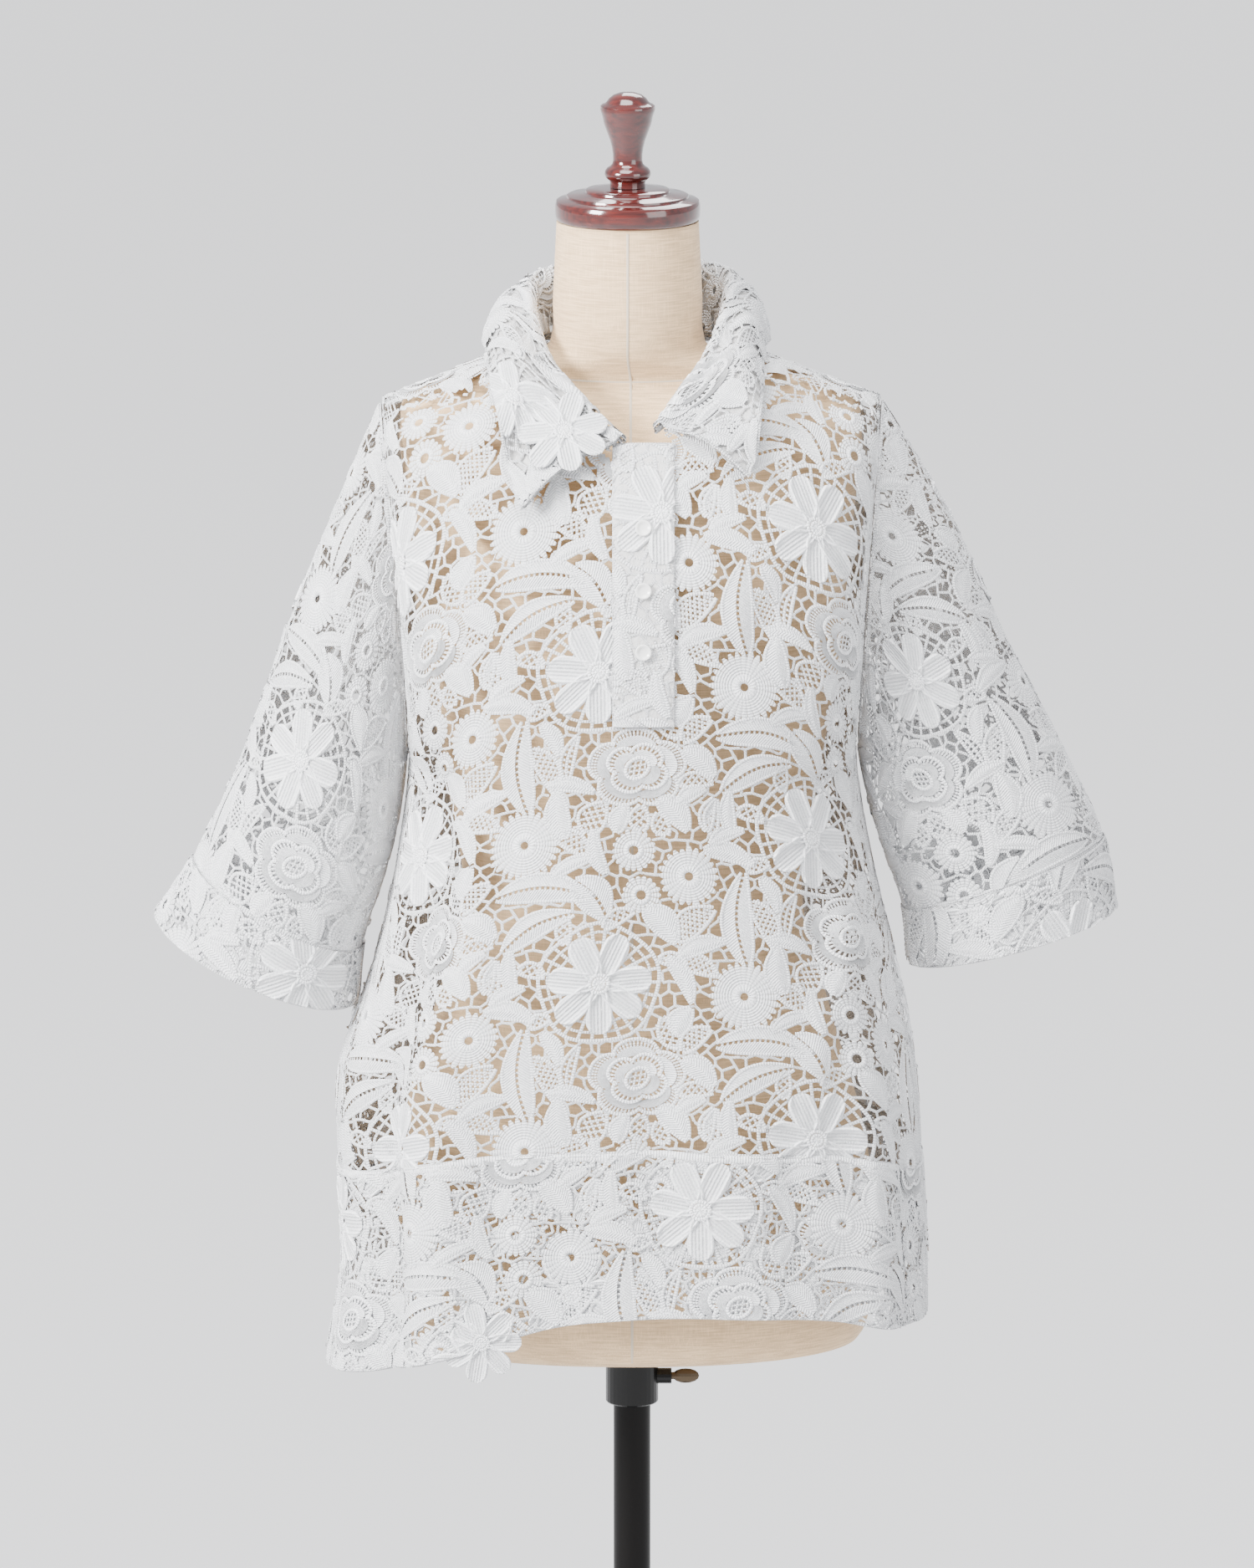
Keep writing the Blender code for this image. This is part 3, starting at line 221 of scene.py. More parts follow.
def smooth(places, values, at):
    """A cubic through the points, whose slope at each is the mean of its two neighbours'."""
    places = np.asarray(places, float)
    values = np.asarray(values, float)
    at = np.clip(np.asarray(at, float), places[0], places[-1])
    steps = np.diff(values) / np.diff(places)
    slopes = np.concatenate([steps[:1], (steps[:-1] + steps[1:]) / 2, steps[-1:]])
    k = np.clip(np.searchsorted(places, at) - 1, 0, len(places) - 2)
    width = places[k + 1] - places[k]
    t = (at - places[k]) / width
    rise = values[k + 1] - values[k]
    start = slopes[k] * width
    end = slopes[k + 1] * width
    return values[k] + start * t + (3 * rise - 2 * start - end) * t**2 + (start + end - 2 * rise) * t**3


def read(columns, rows, wanted, at):
    """One named column of a table, at any value of its first column."""
    table = np.array(rows, float)
    return smooth(table[:, 0], table[:, columns.index(wanted)], at)


def add_node(tree, kind, x, y, inputs=(), **values):
    """A shader node at a place in the tree, with its inputs and its own settings."""
    made = tree.nodes.new("ShaderNode" + kind)
    made.location = (x, y)
    for name, value in values.items():
        setattr(made, name, value)
    for name, value in dict(inputs).items():
        made.inputs[name].default_value = value
    return made


def add_ramp(tree, x, y, *stops):
    """A colour ramp from its two stops, each a position and a colour."""
    made = add_node(tree, "ValToRGB", x, y)
    for element, (position, colour) in zip(made.color_ramp.elements, stops):
        element.position = position
        element.color = (*colour, 1)
    return made


def wire(tree, *pairs):
    for source, target in pairs:
        tree.links.new(source, target)


linen = plain_material("natural_linen", LINEN, 0.85, more={"Sheen Weight": 0.15})
tree = linen.node_tree
surface = tree.nodes["Principled BSDF"]
place = add_node(tree, "TexCoord", -1200, 0)
weave = add_node(tree, "Math", -600, 100, operation="MAXIMUM")
for k, stretch in enumerate(((1, 1, 0.03), (0.03, 0.03, 1))):
    scale = [share * THREADS_PER_METRE for share in stretch]
    mapping = add_node(tree, "Mapping", -1000, 300 * (1 - k), {"Scale": scale})
    noise = add_node(tree, "TexNoise", -800, 300 * (1 - k), {"Scale": 1.0, "Detail": 1.5})
    wire(
        tree,
        (place.outputs["Object"], mapping.inputs["Vector"]),
        (mapping.outputs["Vector"], noise.inputs["Vector"]),
        (noise.outputs["Fac"], weave.inputs[k]),
    )
slub_map = add_node(tree, "Mapping", -1000, -300, {"Scale": (60, 60, 900)})
slubs = add_node(tree, "TexNoise", -800, -300, {"Scale": 1.0})
shade = add_node(tree, "Math", -450, -100, operation="MULTIPLY")
ramp = add_ramp(tree, -300, -100, (0.16, LINEN_DARK), (0.38, LINEN))
bump = add_node(tree, "Bump", -300, -400, {"Strength": 0.35, "Distance": 0.0004})
wire(
    tree,
    (place.outputs["Object"], slub_map.inputs["Vector"]),
    (slub_map.outputs["Vector"], slubs.inputs["Vector"]),
    (weave.outputs[0], shade.inputs[0]),
    (slubs.outputs["Fac"], shade.inputs[1]),
    (shade.outputs[0], ramp.inputs["Fac"]),
    (ramp.outputs["Color"], surface.inputs["Base Color"]),
    (weave.outputs[0], bump.inputs["Height"]),
    (bump.outputs["Normal"], surface.inputs["Normal"]),
)


def form_point(turn, z, out=0.0):
    """A place on the form's surface at one height, turn measured from +X towards +Y."""
    wide = read(FORM_COLUMNS, FORM, "half_width", z) + out
    deep = read(FORM_COLUMNS, FORM, "front" if turn < 0 else "back", z) + out
    power = read(FORM_COLUMNS, FORM, "roundness", z)
    cosine, sine = math.cos(turn), math.sin(turn)
    x = math.copysign(abs(cosine) ** (2 / power), cosine) * wide
    y = math.copysign(abs(sine) ** (2 / power), sine) * deep
    return (x + read(FORM_COLUMNS, FORM, "centre_x", z), y, z)


bm = bmesh.new()
bmesh.ops.create_cone(bm, cap_ends=True, segments=FORM_SIDES, radius1=1, radius2=1, depth=1)
upright = [edge for edge in bm.edges if abs(edge.verts[0].co.z - edge.verts[1].co.z) > 0.5]
bmesh.ops.subdivide_edges(bm, edges=upright, cuts=FORM_LEVELS - 1)
form_z = np.linspace(FORM[0][0] + 0.0002, FORM[-1][0], FORM_LEVELS + 1)
for vertex in bm.verts:
    z = float(form_z[round((vertex.co.z + 0.5) * FORM_LEVELS)])
    turn = math.atan2(vertex.co.y, vertex.co.x)
    x, y, z = form_point(turn, z)
    seam = math.exp(-(((x + 0.003) / 0.0012) ** 2)) if y < 0 or z > 1.0 else 0
    vertex.co = (x, y * (1 - 0.006 * seam), z)
torso = new_object("linen_torso", bm, linen)
torso.data.set_sharp_from_angle(angle=math.radians(50))
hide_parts("torso")
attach(torso, "form")

# Seam tapes on the form: the stitched joins down its middle, front and back, and the one round the foot of
# its neck.
SEAM_HALF_WIDTH = 0.0009
SEAM_RISE = 0.0005
NECK_SEAM_FRONT_Z = 1.3880
NECK_SEAM_BACK_Z = 1.4200
seam_thread = plain_material("seam_thread", (0.56, 0.47, 0.365), 0.9)


def ribbon(bm, path, normals, half_width, rise):
    """A strip along a path with a raised middle, standing on a surface with these normals."""
    path, normals = np.asarray(path, float), np.asarray(normals, float)
    steps = len(path) - 1
    made = bmesh.ops.create_grid(bm, x_segments=steps, y_segments=2, size=1)
    along = np.gradient(path, axis=0)
    side = np.cross(normals, along)
    side /= np.linalg.norm(side, axis=1, keepdims=True)
    width = np.broadcast_to(half_width, len(path))
    for vertex in made["verts"]:
        i = round((vertex.co.x + 1) / 2 * steps)
        j = round(vertex.co.y)
        vertex.co = path[i] + side[i] * j * width[i] + normals[i] * (rise if j == 0 else 0.00005)
    return made["verts"]


bm = bmesh.new()
for turn in (-math.pi / 2, math.pi / 2):
    heights = np.linspace(0.724, 1.491, 120)
    path = [form_point(turn, z) for z in heights]
    normals = np.tile((0, math.copysign(1, turn), 0), (len(path), 1))
    ribbon(bm, path, normals, SEAM_HALF_WIDTH, SEAM_RISE)
turns = np.linspace(-math.pi, math.pi, 97)
path = []
for turn in turns:
    share = (1 + math.sin(turn)) / 2
    path.append(form_point(turn, NECK_SEAM_FRONT_Z + (NECK_SEAM_BACK_Z - NECK_SEAM_FRONT_Z) * share))
normals = np.stack([np.cos(turns), np.sin(turns), 0.2 * np.ones_like(turns)], axis=1)
ribbon(bm, path, normals / np.linalg.norm(normals, axis=1, keepdims=True), SEAM_HALF_WIDTH, SEAM_RISE)
seams = new_object("linen_seams", bm, seam_thread)
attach(seams, "form")

# The neck cap and finial: turned beech in glossy red-brown lacquer, stepped rings below a bulb with a
# flat crown.
TURNING_X = -0.003
CAP_PROFILE = (
    (0.0, 1.5155),
    (0.0150, 1.5155),
    (0.0200, 1.5152),
    (0.0275, 1.5146),
    (0.0285, 1.5138),
    (0.0288, 1.5124),
    (0.0300, 1.5118),
    (0.0395, 1.5110),
    (0.0410, 1.5104),
    (0.0413, 1.5090),
    (0.0425, 1.5084),
    (0.0465, 1.5078),
    (0.0482, 1.5068),
    (0.0490, 1.5050),
    (0.0492, 1.5020),
    (0.0491, 1.4975),
    (0.0486, 1.4950),
    (0.0470, 1.4934),
    (0.0, 1.4934),
)
FINIAL_PROFILE = (
    (0.0, 1.5803),
    (0.0050, 1.5800),
    (0.0095, 1.5785),
    (0.0125, 1.5762),
    (0.0140, 1.5742),
    (0.0152, 1.5728),
    (0.0170, 1.5722),
    (0.0184, 1.5710),
    (0.0187, 1.5690),
    (0.0180, 1.5665),
    (0.0172, 1.5640),
    (0.0166, 1.5610),
    (0.0160, 1.5585),
    (0.0142, 1.5535),
    (0.0121, 1.5480),
    (0.0108, 1.5430),
    (0.0101, 1.5385),
    (0.0100, 1.5345),
    (0.0104, 1.5318),
    (0.0118, 1.5302),
    (0.0138, 1.5290),
    (0.0152, 1.5272),
    (0.0158, 1.5250),
    (0.0152, 1.5228),
    (0.0138, 1.5214),
    (0.0124, 1.5205),
    (0.0120, 1.5190),
    (0.0120, 1.5159),
    (0.0, 1.5159),
)
LACQUER = (0.115, 0.010, 0.006)
GRAIN_DARK = (0.030, 0.003, 0.0025)
GRAIN_LIGHT = (0.085, 0.008, 0.005)
coat = {"Coat Weight": 1.0, "Coat Roughness": 0.06}
lacquer = plain_material("red_brown_lacquer", LACQUER, 0.16, more=coat)
tree = lacquer.node_tree
place = add_node(tree, "TexCoord", -900, 0)
mapping = add_node(tree, "Mapping", -700, 0, {"Scale": (40, 400, 400)})
grain = add_node(tree, "TexNoise", -500, 0, {"Scale": 1.0})
ramp = add_ramp(tree, -300, 0, (0.35, GRAIN_DARK), (0.7, GRAIN_LIGHT))
wire(
    tree,
    (place.outputs["Object"], mapping.inputs["Vector"]),
    (mapping.outputs["Vector"], grain.inputs["Vector"]),
    (grain.outputs["Fac"], ramp.inputs["Fac"]),
    (ramp.outputs["Color"], tree.nodes["Principled BSDF"].inputs["Base Color"]),
)
WOODEN_PIECES = (("neck_cap_turned", "neck_cap", CAP_PROFILE), ("finial_turned", "finial", FINIAL_PROFILE))
for name, node, profile in WOODEN_PIECES:
    piece = turned(name, profile, 96, lacquer, centre=(TURNING_X, 0))
    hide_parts(node)
    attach(piece, "form")


# The lace: a cotton guipure that is embroidered in one repeat, half-dropped across the cloth. A honeycomb net
# of wrapped bars carries thick daisies, a rose, leaves of four kinds and round suns of narrow loops. The
# repeat is drawn flat here, with heights above the cloth's inner face, and each panel is covered with it.
REPEAT_ACROSS = 0.148
REPEAT_UP = 0.212
LATTICE = [(0, 0), (0, REPEAT_UP), (0, -REPEAT_UP)]
LATTICE += [(i * REPEAT_ACROSS, j * REPEAT_UP / 2) for i in (-1, 1) for j in (-1, 1)]
LACE_WHITE = (0.935, 0.94, 0.95)
# Painted shade: the grey below darkens the thread in the grooves between its stitches, and the factor after
# it darkens the lace where it lies low, at HOLLOW_Z, fading to none at CREST_Z.
LACE_PAINTED_SHADE = (0.72, 0.73, 0.75)
HOLLOW_PAINTED_SHADE = 0.74
HOLLOW_Z = 0.0007
CREST_Z = 0.0024
STITCH_PITCH = 0.0019
rng = np.random.default_rng(7)

lace_thread = plain_material("white_lace_thread", LACE_WHITE, 0.75)
tree = lace_thread.node_tree
surface = tree.nodes["Principled BSDF"]
run = add_node(tree, "UVMap", -1300, 0, uv_map="thread")
parts = add_node(tree, "SeparateXYZ", -1100, 200)
turn = add_node(tree, "Math", -900, 200, {1: 2 * math.pi / STITCH_PITCH}, operation="MULTIPLY")
stitches = add_node(tree, "Math", -700, 200, operation="SINE")
mapping = add_node(tree, "Mapping", -1100, -100, {"Scale": (900, 900, 1)})
noise = add_node(tree, "TexNoise", -900, -100, {"Scale": 1.0, "Detail": 2.0})
height = add_node(tree, "Math", -500, 0, {1: 0.30}, operation="MULTIPLY_ADD")
bump = add_node(tree, "Bump", -300, -300, {"Strength": 1.0, "Distance": 0.0008})
# Painted shade: the thread's colour runs from the grey where its bump is low, in the grooves between
# stitches, to white on its crests.
stitch_painted_shade = add_ramp(tree, -300, 100, (0.26, LACE_PAINTED_SHADE), (0.52, LACE_WHITE))
# Painted shade: the relief attribute darkens the colour where the lace lies low, between its raised rims and
# cords, down to the factor at HOLLOW_Z.
relief_height = add_node(tree, "Attribute", -700, 500, attribute_name="relief")
span = {"From Min": HOLLOW_Z * 1000, "From Max": CREST_Z * 1000, "To Min": HOLLOW_PAINTED_SHADE, "To Max": 1.0}
relief_painted_shade = add_node(tree, "MapRange", -500, 500, span)
painted_shade_colour = add_node(tree, "VectorMath", -100, 300, operation="SCALE")
wire(
    tree,
    (run.outputs["UV"], parts.inputs[0]),
    (parts.outputs["X"], turn.inputs[0]),
    (turn.outputs[0], stitches.inputs[0]),
    (run.outputs["UV"], mapping.inputs["Vector"]),
    (mapping.outputs["Vector"], noise.inputs["Vector"]),
    (stitches.outputs[0], height.inputs[0]),
    (noise.outputs["Fac"], height.inputs[2]),
    (height.outputs[0], bump.inputs["Height"]),
    (bump.outputs["Normal"], surface.inputs["Normal"]),
    (height.outputs[0], stitch_painted_shade.inputs["Fac"]),
    (relief_height.outputs["Fac"], relief_painted_shade.inputs["Value"]),
    (stitch_painted_shade.outputs["Color"], painted_shade_colour.inputs[0]),
    (relief_painted_shade.outputs["Result"], painted_shade_colour.inputs["Scale"]),
    (painted_shade_colour.outputs["Vector"], surface.inputs["Base Color"]),
)


def run_along(path):
    """Length along a path to each of its points."""
    return np.concatenate([[0], np.cumsum(np.linalg.norm(np.diff(path, axis=0), axis=1))])


def circle(turns):
    """Points of the unit circle."""
    return np.stack([np.cos(turns), np.sin(turns)], axis=1)


class Pattern:
    """Flat pieces of lace that gather in one mesh, with the run of the thread as its map."""

    def __init__(self):
        self.bm = bmesh.new()
        self.thread = self.bm.loops.layers.uv.new("thread")
        self.outlines = []

    def patch(self, long_steps, wide_steps, shape):
        """A grid of faces: shape gives x, y, height and the thread's place for shares along and across."""
        made = bmesh.ops.create_grid(self.bm, x_segments=long_steps, y_segments=wide_steps, size=1)
        verts = made["verts"]
        share = np.array([(v.co.x, v.co.y) for v in verts])
        along, across = (share[:, 0] + 1) / 2, share[:, 1]
        x, y, height, run, beside = (np.broadcast_to(part, along.shape) for part in shape(along, across))
        threads = {}
        for k, vertex in enumerate(verts):
            vertex.co = (x[k], y[k], height[k])
            threads[vertex] = (run[k], beside[k])
        for face in {face for vertex in verts for face in vertex.link_faces}:
            for loop in face.loops:
                loop[self.thread].uv = threads[loop.vert]

    def cord(self, path, half_width, height, rise):
        """A raised cord along a path of points on the flat."""
        path = np.asarray(path, float)
        slope = np.gradient(path, axis=0)
        side = np.stack([-slope[:, 1], slope[:, 0]], axis=1) / np.linalg.norm(slope, axis=1, keepdims=True)
        run = run_along(path)
        width = np.broadcast_to(half_width, len(path))

        def shape(along, across):
            k = np.rint(along * (len(path) - 1)).astype(int)
            x = path[k, 0] + side[k, 0] * across * width[k]
            y = path[k, 1] + side[k, 1] * across * width[k]
            return x, y, height + rise * (1 - across**2), run[k], across * width[k]

        self.patch(len(path) - 1, 2, shape)

    def cover(self, outline):
        """Keeps the net out of a closed outline."""
        self.outlines.append(np.asarray(outline, float))


def turned_path(points, centre, angle):
    """Flat points turned by an angle in degrees and moved to a centre."""
    points = np.asarray(points, float)
    c, s = math.cos(math.radians(angle)), math.sin(math.radians(angle))
    return points @ np.array([[c, s], [-s, c]]) + centre


# Leaves and petals: pointed or blunt, with a corded rim. Solid ones are satin stitch that slants to the
# spine, some with a line of holes down it; the others are open inside, crossed by rungs or a lattice of bars.
RIM_HALF_WIDTH = 0.0012
RIM_HEIGHT = 0.0009
RIM_RISE = 0.0009
SATIN_HEIGHT = 0.0010
BAR_HEIGHT = 0.0007
BAR_WIDTH = 0.0008
LEAF_STEPS = 10
SPINE_HALF_GAP = 0.0011
LEAF_CREST = 0.0009
PIERCED_PITCH = 0.0038
LADDER_PITCH = 0.0036
LATTICE_PITCH = 0.0042


def leaf(pattern, centre, angle, length, wide, kind, bend=0.10, blunt=0.8):
    """One leaf: its two rims, and the satin stitch, rungs or lattice between them."""
    share = np.linspace(0, 1, LEAF_STEPS)
    half = wide / 2 * np.sin(math.pi * (0.03 + 0.94 * share**0.85)) ** blunt
    middle = bend * length * (np.sin(math.pi * share) - 0.5)
    spine = np.stack([(share - 0.5) * length, middle], axis=1)
    rims = [spine + np.stack([np.zeros(LEAF_STEPS), sign * half], axis=1) for sign in (-1, 1)]
    for rim in rims:
        pattern.cord(turned_path(rim, centre, angle), RIM_HALF_WIDTH, RIM_HEIGHT, RIM_RISE)
    pattern.cover(turned_path(np.concatenate([rims[0], rims[1][::-1]]), centre, angle))
    if kind in ("solid", "pierced"):
        for sign in (-1, 1) if kind == "pierced" else (0,):

            def shape(along, across, sign=sign):
                edge = np.interp(along, share, half)
                if sign:
                    reach = np.maximum(edge - SPINE_HALF_GAP, 0.0002)
                    place = sign * (SPINE_HALF_GAP + (across + 1) / 2 * reach)
                else:
                    place = across * edge
                lift = LEAF_CREST * (1 - np.abs(place) / np.maximum(edge, 0.0001))
                line = np.stack([(along - 0.5) * length, np.interp(along, share, middle) + place], axis=1)
                line = turned_path(line, centre, angle)
                slant = along * length + np.abs(place) * 0.7
                return line[:, 0], line[:, 1], SATIN_HEIGHT + lift, slant, place

            pattern.patch(LEAF_STEPS - 1, 2 if kind == "pierced" else 4, shape)
        if kind == "pierced":
            for at in np.linspace(0.06, 0.94, max(4, int(length / PIERCED_PITCH))):
                x, y = (at - 0.5) * length, np.interp(at, share, middle)
                bar = [(x, y - 0.0016), (x + 0.0002, y), (x, y + 0.0016)]
                pattern.cord(turned_path(bar, centre, angle), BAR_WIDTH, BAR_HEIGHT, 0.0005)
        return
    if kind == "ladder":
        pattern.cord(turned_path(spine, centre, angle), 0.0010, BAR_HEIGHT, 0.0006)
    pitch = LADDER_PITCH if kind == "ladder" else LATTICE_PITCH
    for at in np.linspace(0.1, 0.9, max(4, int(length / pitch))):
        edge, x = np.interp(at, share, half), (at - 0.5) * length
        lean = 0.12 * edge if kind == "ladder" else 0.8 * edge
        y = np.interp(at, share, middle)
        for slant in (lean,) if kind == "ladder" else (lean, -lean):
            bar = [(x - slant, y - edge), (x, y), (x + slant, y + edge)]
            pattern.cord(turned_path(bar, centre, angle), BAR_WIDTH, BAR_HEIGHT, 0.0004)


# Suns: a round open eye in a thick ring, and narrow loops of satin stitch that radiate from it side by side.
SUN_EYE_RADIUS = 0.0039
SUN_RING_HEIGHT = 0.0011
SUN_RING_RISE = 0.0014
SUN_LOOP_RISE = 0.0007


def sun(pattern, centre, radius, loops):
    """One sun, its loops a little uneven in length."""
    turns = np.linspace(0, 2 * math.pi, 25)
    ring = SUN_EYE_RADIUS + radius * 0.08
    path = circle(turns) * ring + centre
    pattern.cord(path, radius * 0.13, SUN_RING_HEIGHT, SUN_RING_RISE)
    pattern.cover(circle(turns) * radius * 0.99 + centre)
    start = ring + radius * 0.05
    for k in range(loops):
        long = radius * (1 + 0.035 * math.sin(k * 2.4) + 0.02 * math.cos(k * 5.1))
        widest = math.pi * radius / loops * 0.90

        def shape(along, across, long=long, widest=widest, k=k):
            x = start + (long - start) * along
            edge = widest * (0.42 + 0.58 * along) * np.sqrt(np.clip((1.02 - along) / 0.16, 0, 1))
            line = turned_path(np.stack([x, across * edge], axis=1), centre, 360 * k / loops)
            height = SATIN_HEIGHT + SUN_LOOP_RISE * (1 - np.abs(across)) * (1 - 0.4 * along)
            return line[:, 0], line[:, 1], height, x, across * edge

        pattern.patch(5, 2, shape)


# Daisies, the thickest figure: seven padded petals with corded rims and ribs along them, a ringed eye, and
# behind them a ring on short spokes that ties them to the net.
DAISY_PETAL_TURNS = (4, 64, 115, 172, 221, 271, 321)
DAISY_RADIUS = 0.0355
DAISY_HEIGHT = 0.0019
DAISY_RING_RADIUS = 0.0405
DAISY_WEB_SHARES = (0.50, 0.68, 0.85)
DAISY_SPOKES = 26
PETAL_START = 0.0055
PETAL_WIDEST = 0.68


def daisy(pattern, centre=(0.0, 0.0), tied=True):
    """One daisy, with the web that ties it to the net unless it stands free."""
    centre = np.array(centre)
    turns = np.linspace(0, 2 * math.pi, 37)
    uneven = DAISY_RING_RADIUS * (1 + 0.03 * np.sin(turns * 5))[:, None]
    ring = circle(turns) * uneven + centre
    if tied:
        for share in DAISY_WEB_SHARES:
            pattern.cord(ring * share + centre * (1 - share), 0.0009, BAR_HEIGHT - 0.0003, 0.0003)
        pattern.cord(ring, 0.0013, BAR_HEIGHT, 0.0008)
        pattern.cover(ring)
    for k in range(DAISY_SPOKES if tied else 0):
        spoke = np.stack([np.linspace(0.016, 0.0402, 3), np.zeros(3)], axis=1)
        pattern.cord(turned_path(spoke, centre, 360 * k / DAISY_SPOKES), 0.0011, BAR_HEIGHT, 0.0004)
    for angle in DAISY_PETAL_TURNS:
        long = DAISY_RADIUS * rng.uniform(0.96, 1.03) - PETAL_START
        wide = DAISY_RADIUS * rng.uniform(0.240, 0.262)

        def shape(along, across, angle=angle, long=long, wide=wide):
            reach = np.where(along < PETAL_WIDEST, 0.80, 0.335)
            edge = wide * np.sqrt(np.clip(1 - ((along - PETAL_WIDEST) / reach) ** 2, 0, 1)) + 0.0004
            line = turned_path(np.stack([PETAL_START + along * long, across * edge], axis=1), centre, angle)
            out = np.maximum(np.abs(across), np.clip((along - 0.60) / 0.40, 0, 1) ** 2)
            rim = np.exp(-(((out - 0.80) / 0.13) ** 2))
            ribs = 0.5 + 0.5 * np.cos(across * math.pi * 5)
            height = DAISY_HEIGHT - 0.0010 + 0.0022 * rim + 0.0004 * ribs * (1 - rim)
            height = np.where(out > 0.97, DAISY_HEIGHT - 0.0009, height)
            return line[:, 0], line[:, 1], height, across * edge * 0.8, along * long

        pattern.patch(10, 12, shape)
    turns = np.linspace(0, 2 * math.pi, 17)
    for radius, half in ((0.0063, 0.0013), (0.0036, 0.0012)):
        path = circle(turns) * radius + centre
        pattern.cord(path, half, 0.0021, 0.0009)
    path = circle(turns) * 0.0013 + centre
    pattern.cord(path, 0.0012, 0.0022, 0.0004)


# The rose: two rounds of overlapping petals, each a band of satin stitch with a corded rim held off it by
# short bars, round a latticed heart.
ROSE_ROUNDS = (
    # petals, inner share, outer share, turn, lift
    (5, 0.56, 1.00, 20, 0.0000),
    (4, 0.26, 0.64, 58, 0.0006),
)
ROSE_BAR_WIDTH = 0.0007


def rose(pattern, centre, wide, high):
    """One rose, from its outer round of petals to its heart."""
    centre = np.array(centre)
    turns = np.linspace(0, 2 * math.pi, 31)
    reach = np.array([wide / 2, high / 2])
    outline = circle(turns) * reach * 0.93
    pattern.cover(outline + centre)
    for count, inner, outer, turn, lift in ROSE_ROUNDS:
        for k in range(count):
            start = 2 * math.pi * (k - 0.53) / count + math.radians(turn)
            stop = 2 * math.pi * (k + 0.53) / count + math.radians(turn)

            def rim_share(along, inner=inner, outer=outer):
                return outer - (outer - inner) * 0.55 * np.abs(2 * along - 1) ** 2.6

            def shape(along, across, start=start, stop=stop, inner=inner, lift=lift, rim_share=rim_share):
                angle = start + (stop - start) * along
                band = inner + (rim_share(along) - inner) * (0.04 + 0.56 * (across + 1) / 2)
                x = centre[0] + np.cos(angle) * band * reach[0]
                y = centre[1] + np.sin(angle) * band * reach[1]
                height = SATIN_HEIGHT + lift + 0.0010 * (across + 1) / 2
                return x, y, height, angle * band * reach[0], band * reach[0]

            pattern.patch(9, 3, shape)
            share = np.linspace(0, 1, 12)
            angle = start + (stop - start) * share
            rim = circle(angle) * reach * rim_share(share)[:, None]
            pattern.cord(rim + centre, RIM_HALF_WIDTH, SATIN_HEIGHT + lift, RIM_RISE)
            for along in np.linspace(0.08, 0.92, round(14 * outer)):
                angle = start + (stop - start) * along
                edge = rim_share(along)
                band = inner + (edge - inner) * 0.52
                way = np.array([math.cos(angle), math.sin(angle)]) * reach
                bar = np.array([way * band, way * (band + edge) / 2, way * edge])
                pattern.cord(bar + centre, ROSE_BAR_WIDTH, SATIN_HEIGHT + lift, 0.0003)
    heart = turned_path(np.stack([np.cos(turns) * 0.0085, np.sin(turns) * 0.0065], axis=1), centre, 35)
    pattern.cord(heart, 0.0012, SATIN_HEIGHT + 0.0008, 0.0008)
    for across in (-0.0050, -0.0017, 0.0017, 0.0050):
        for angle in (10, 80):
            bar = turned_path([(-0.0065, across), (0, across), (0.0065, across)], centre, angle)
            pattern.cord(bar, ROSE_BAR_WIDTH, SATIN_HEIGHT, 0.0005)


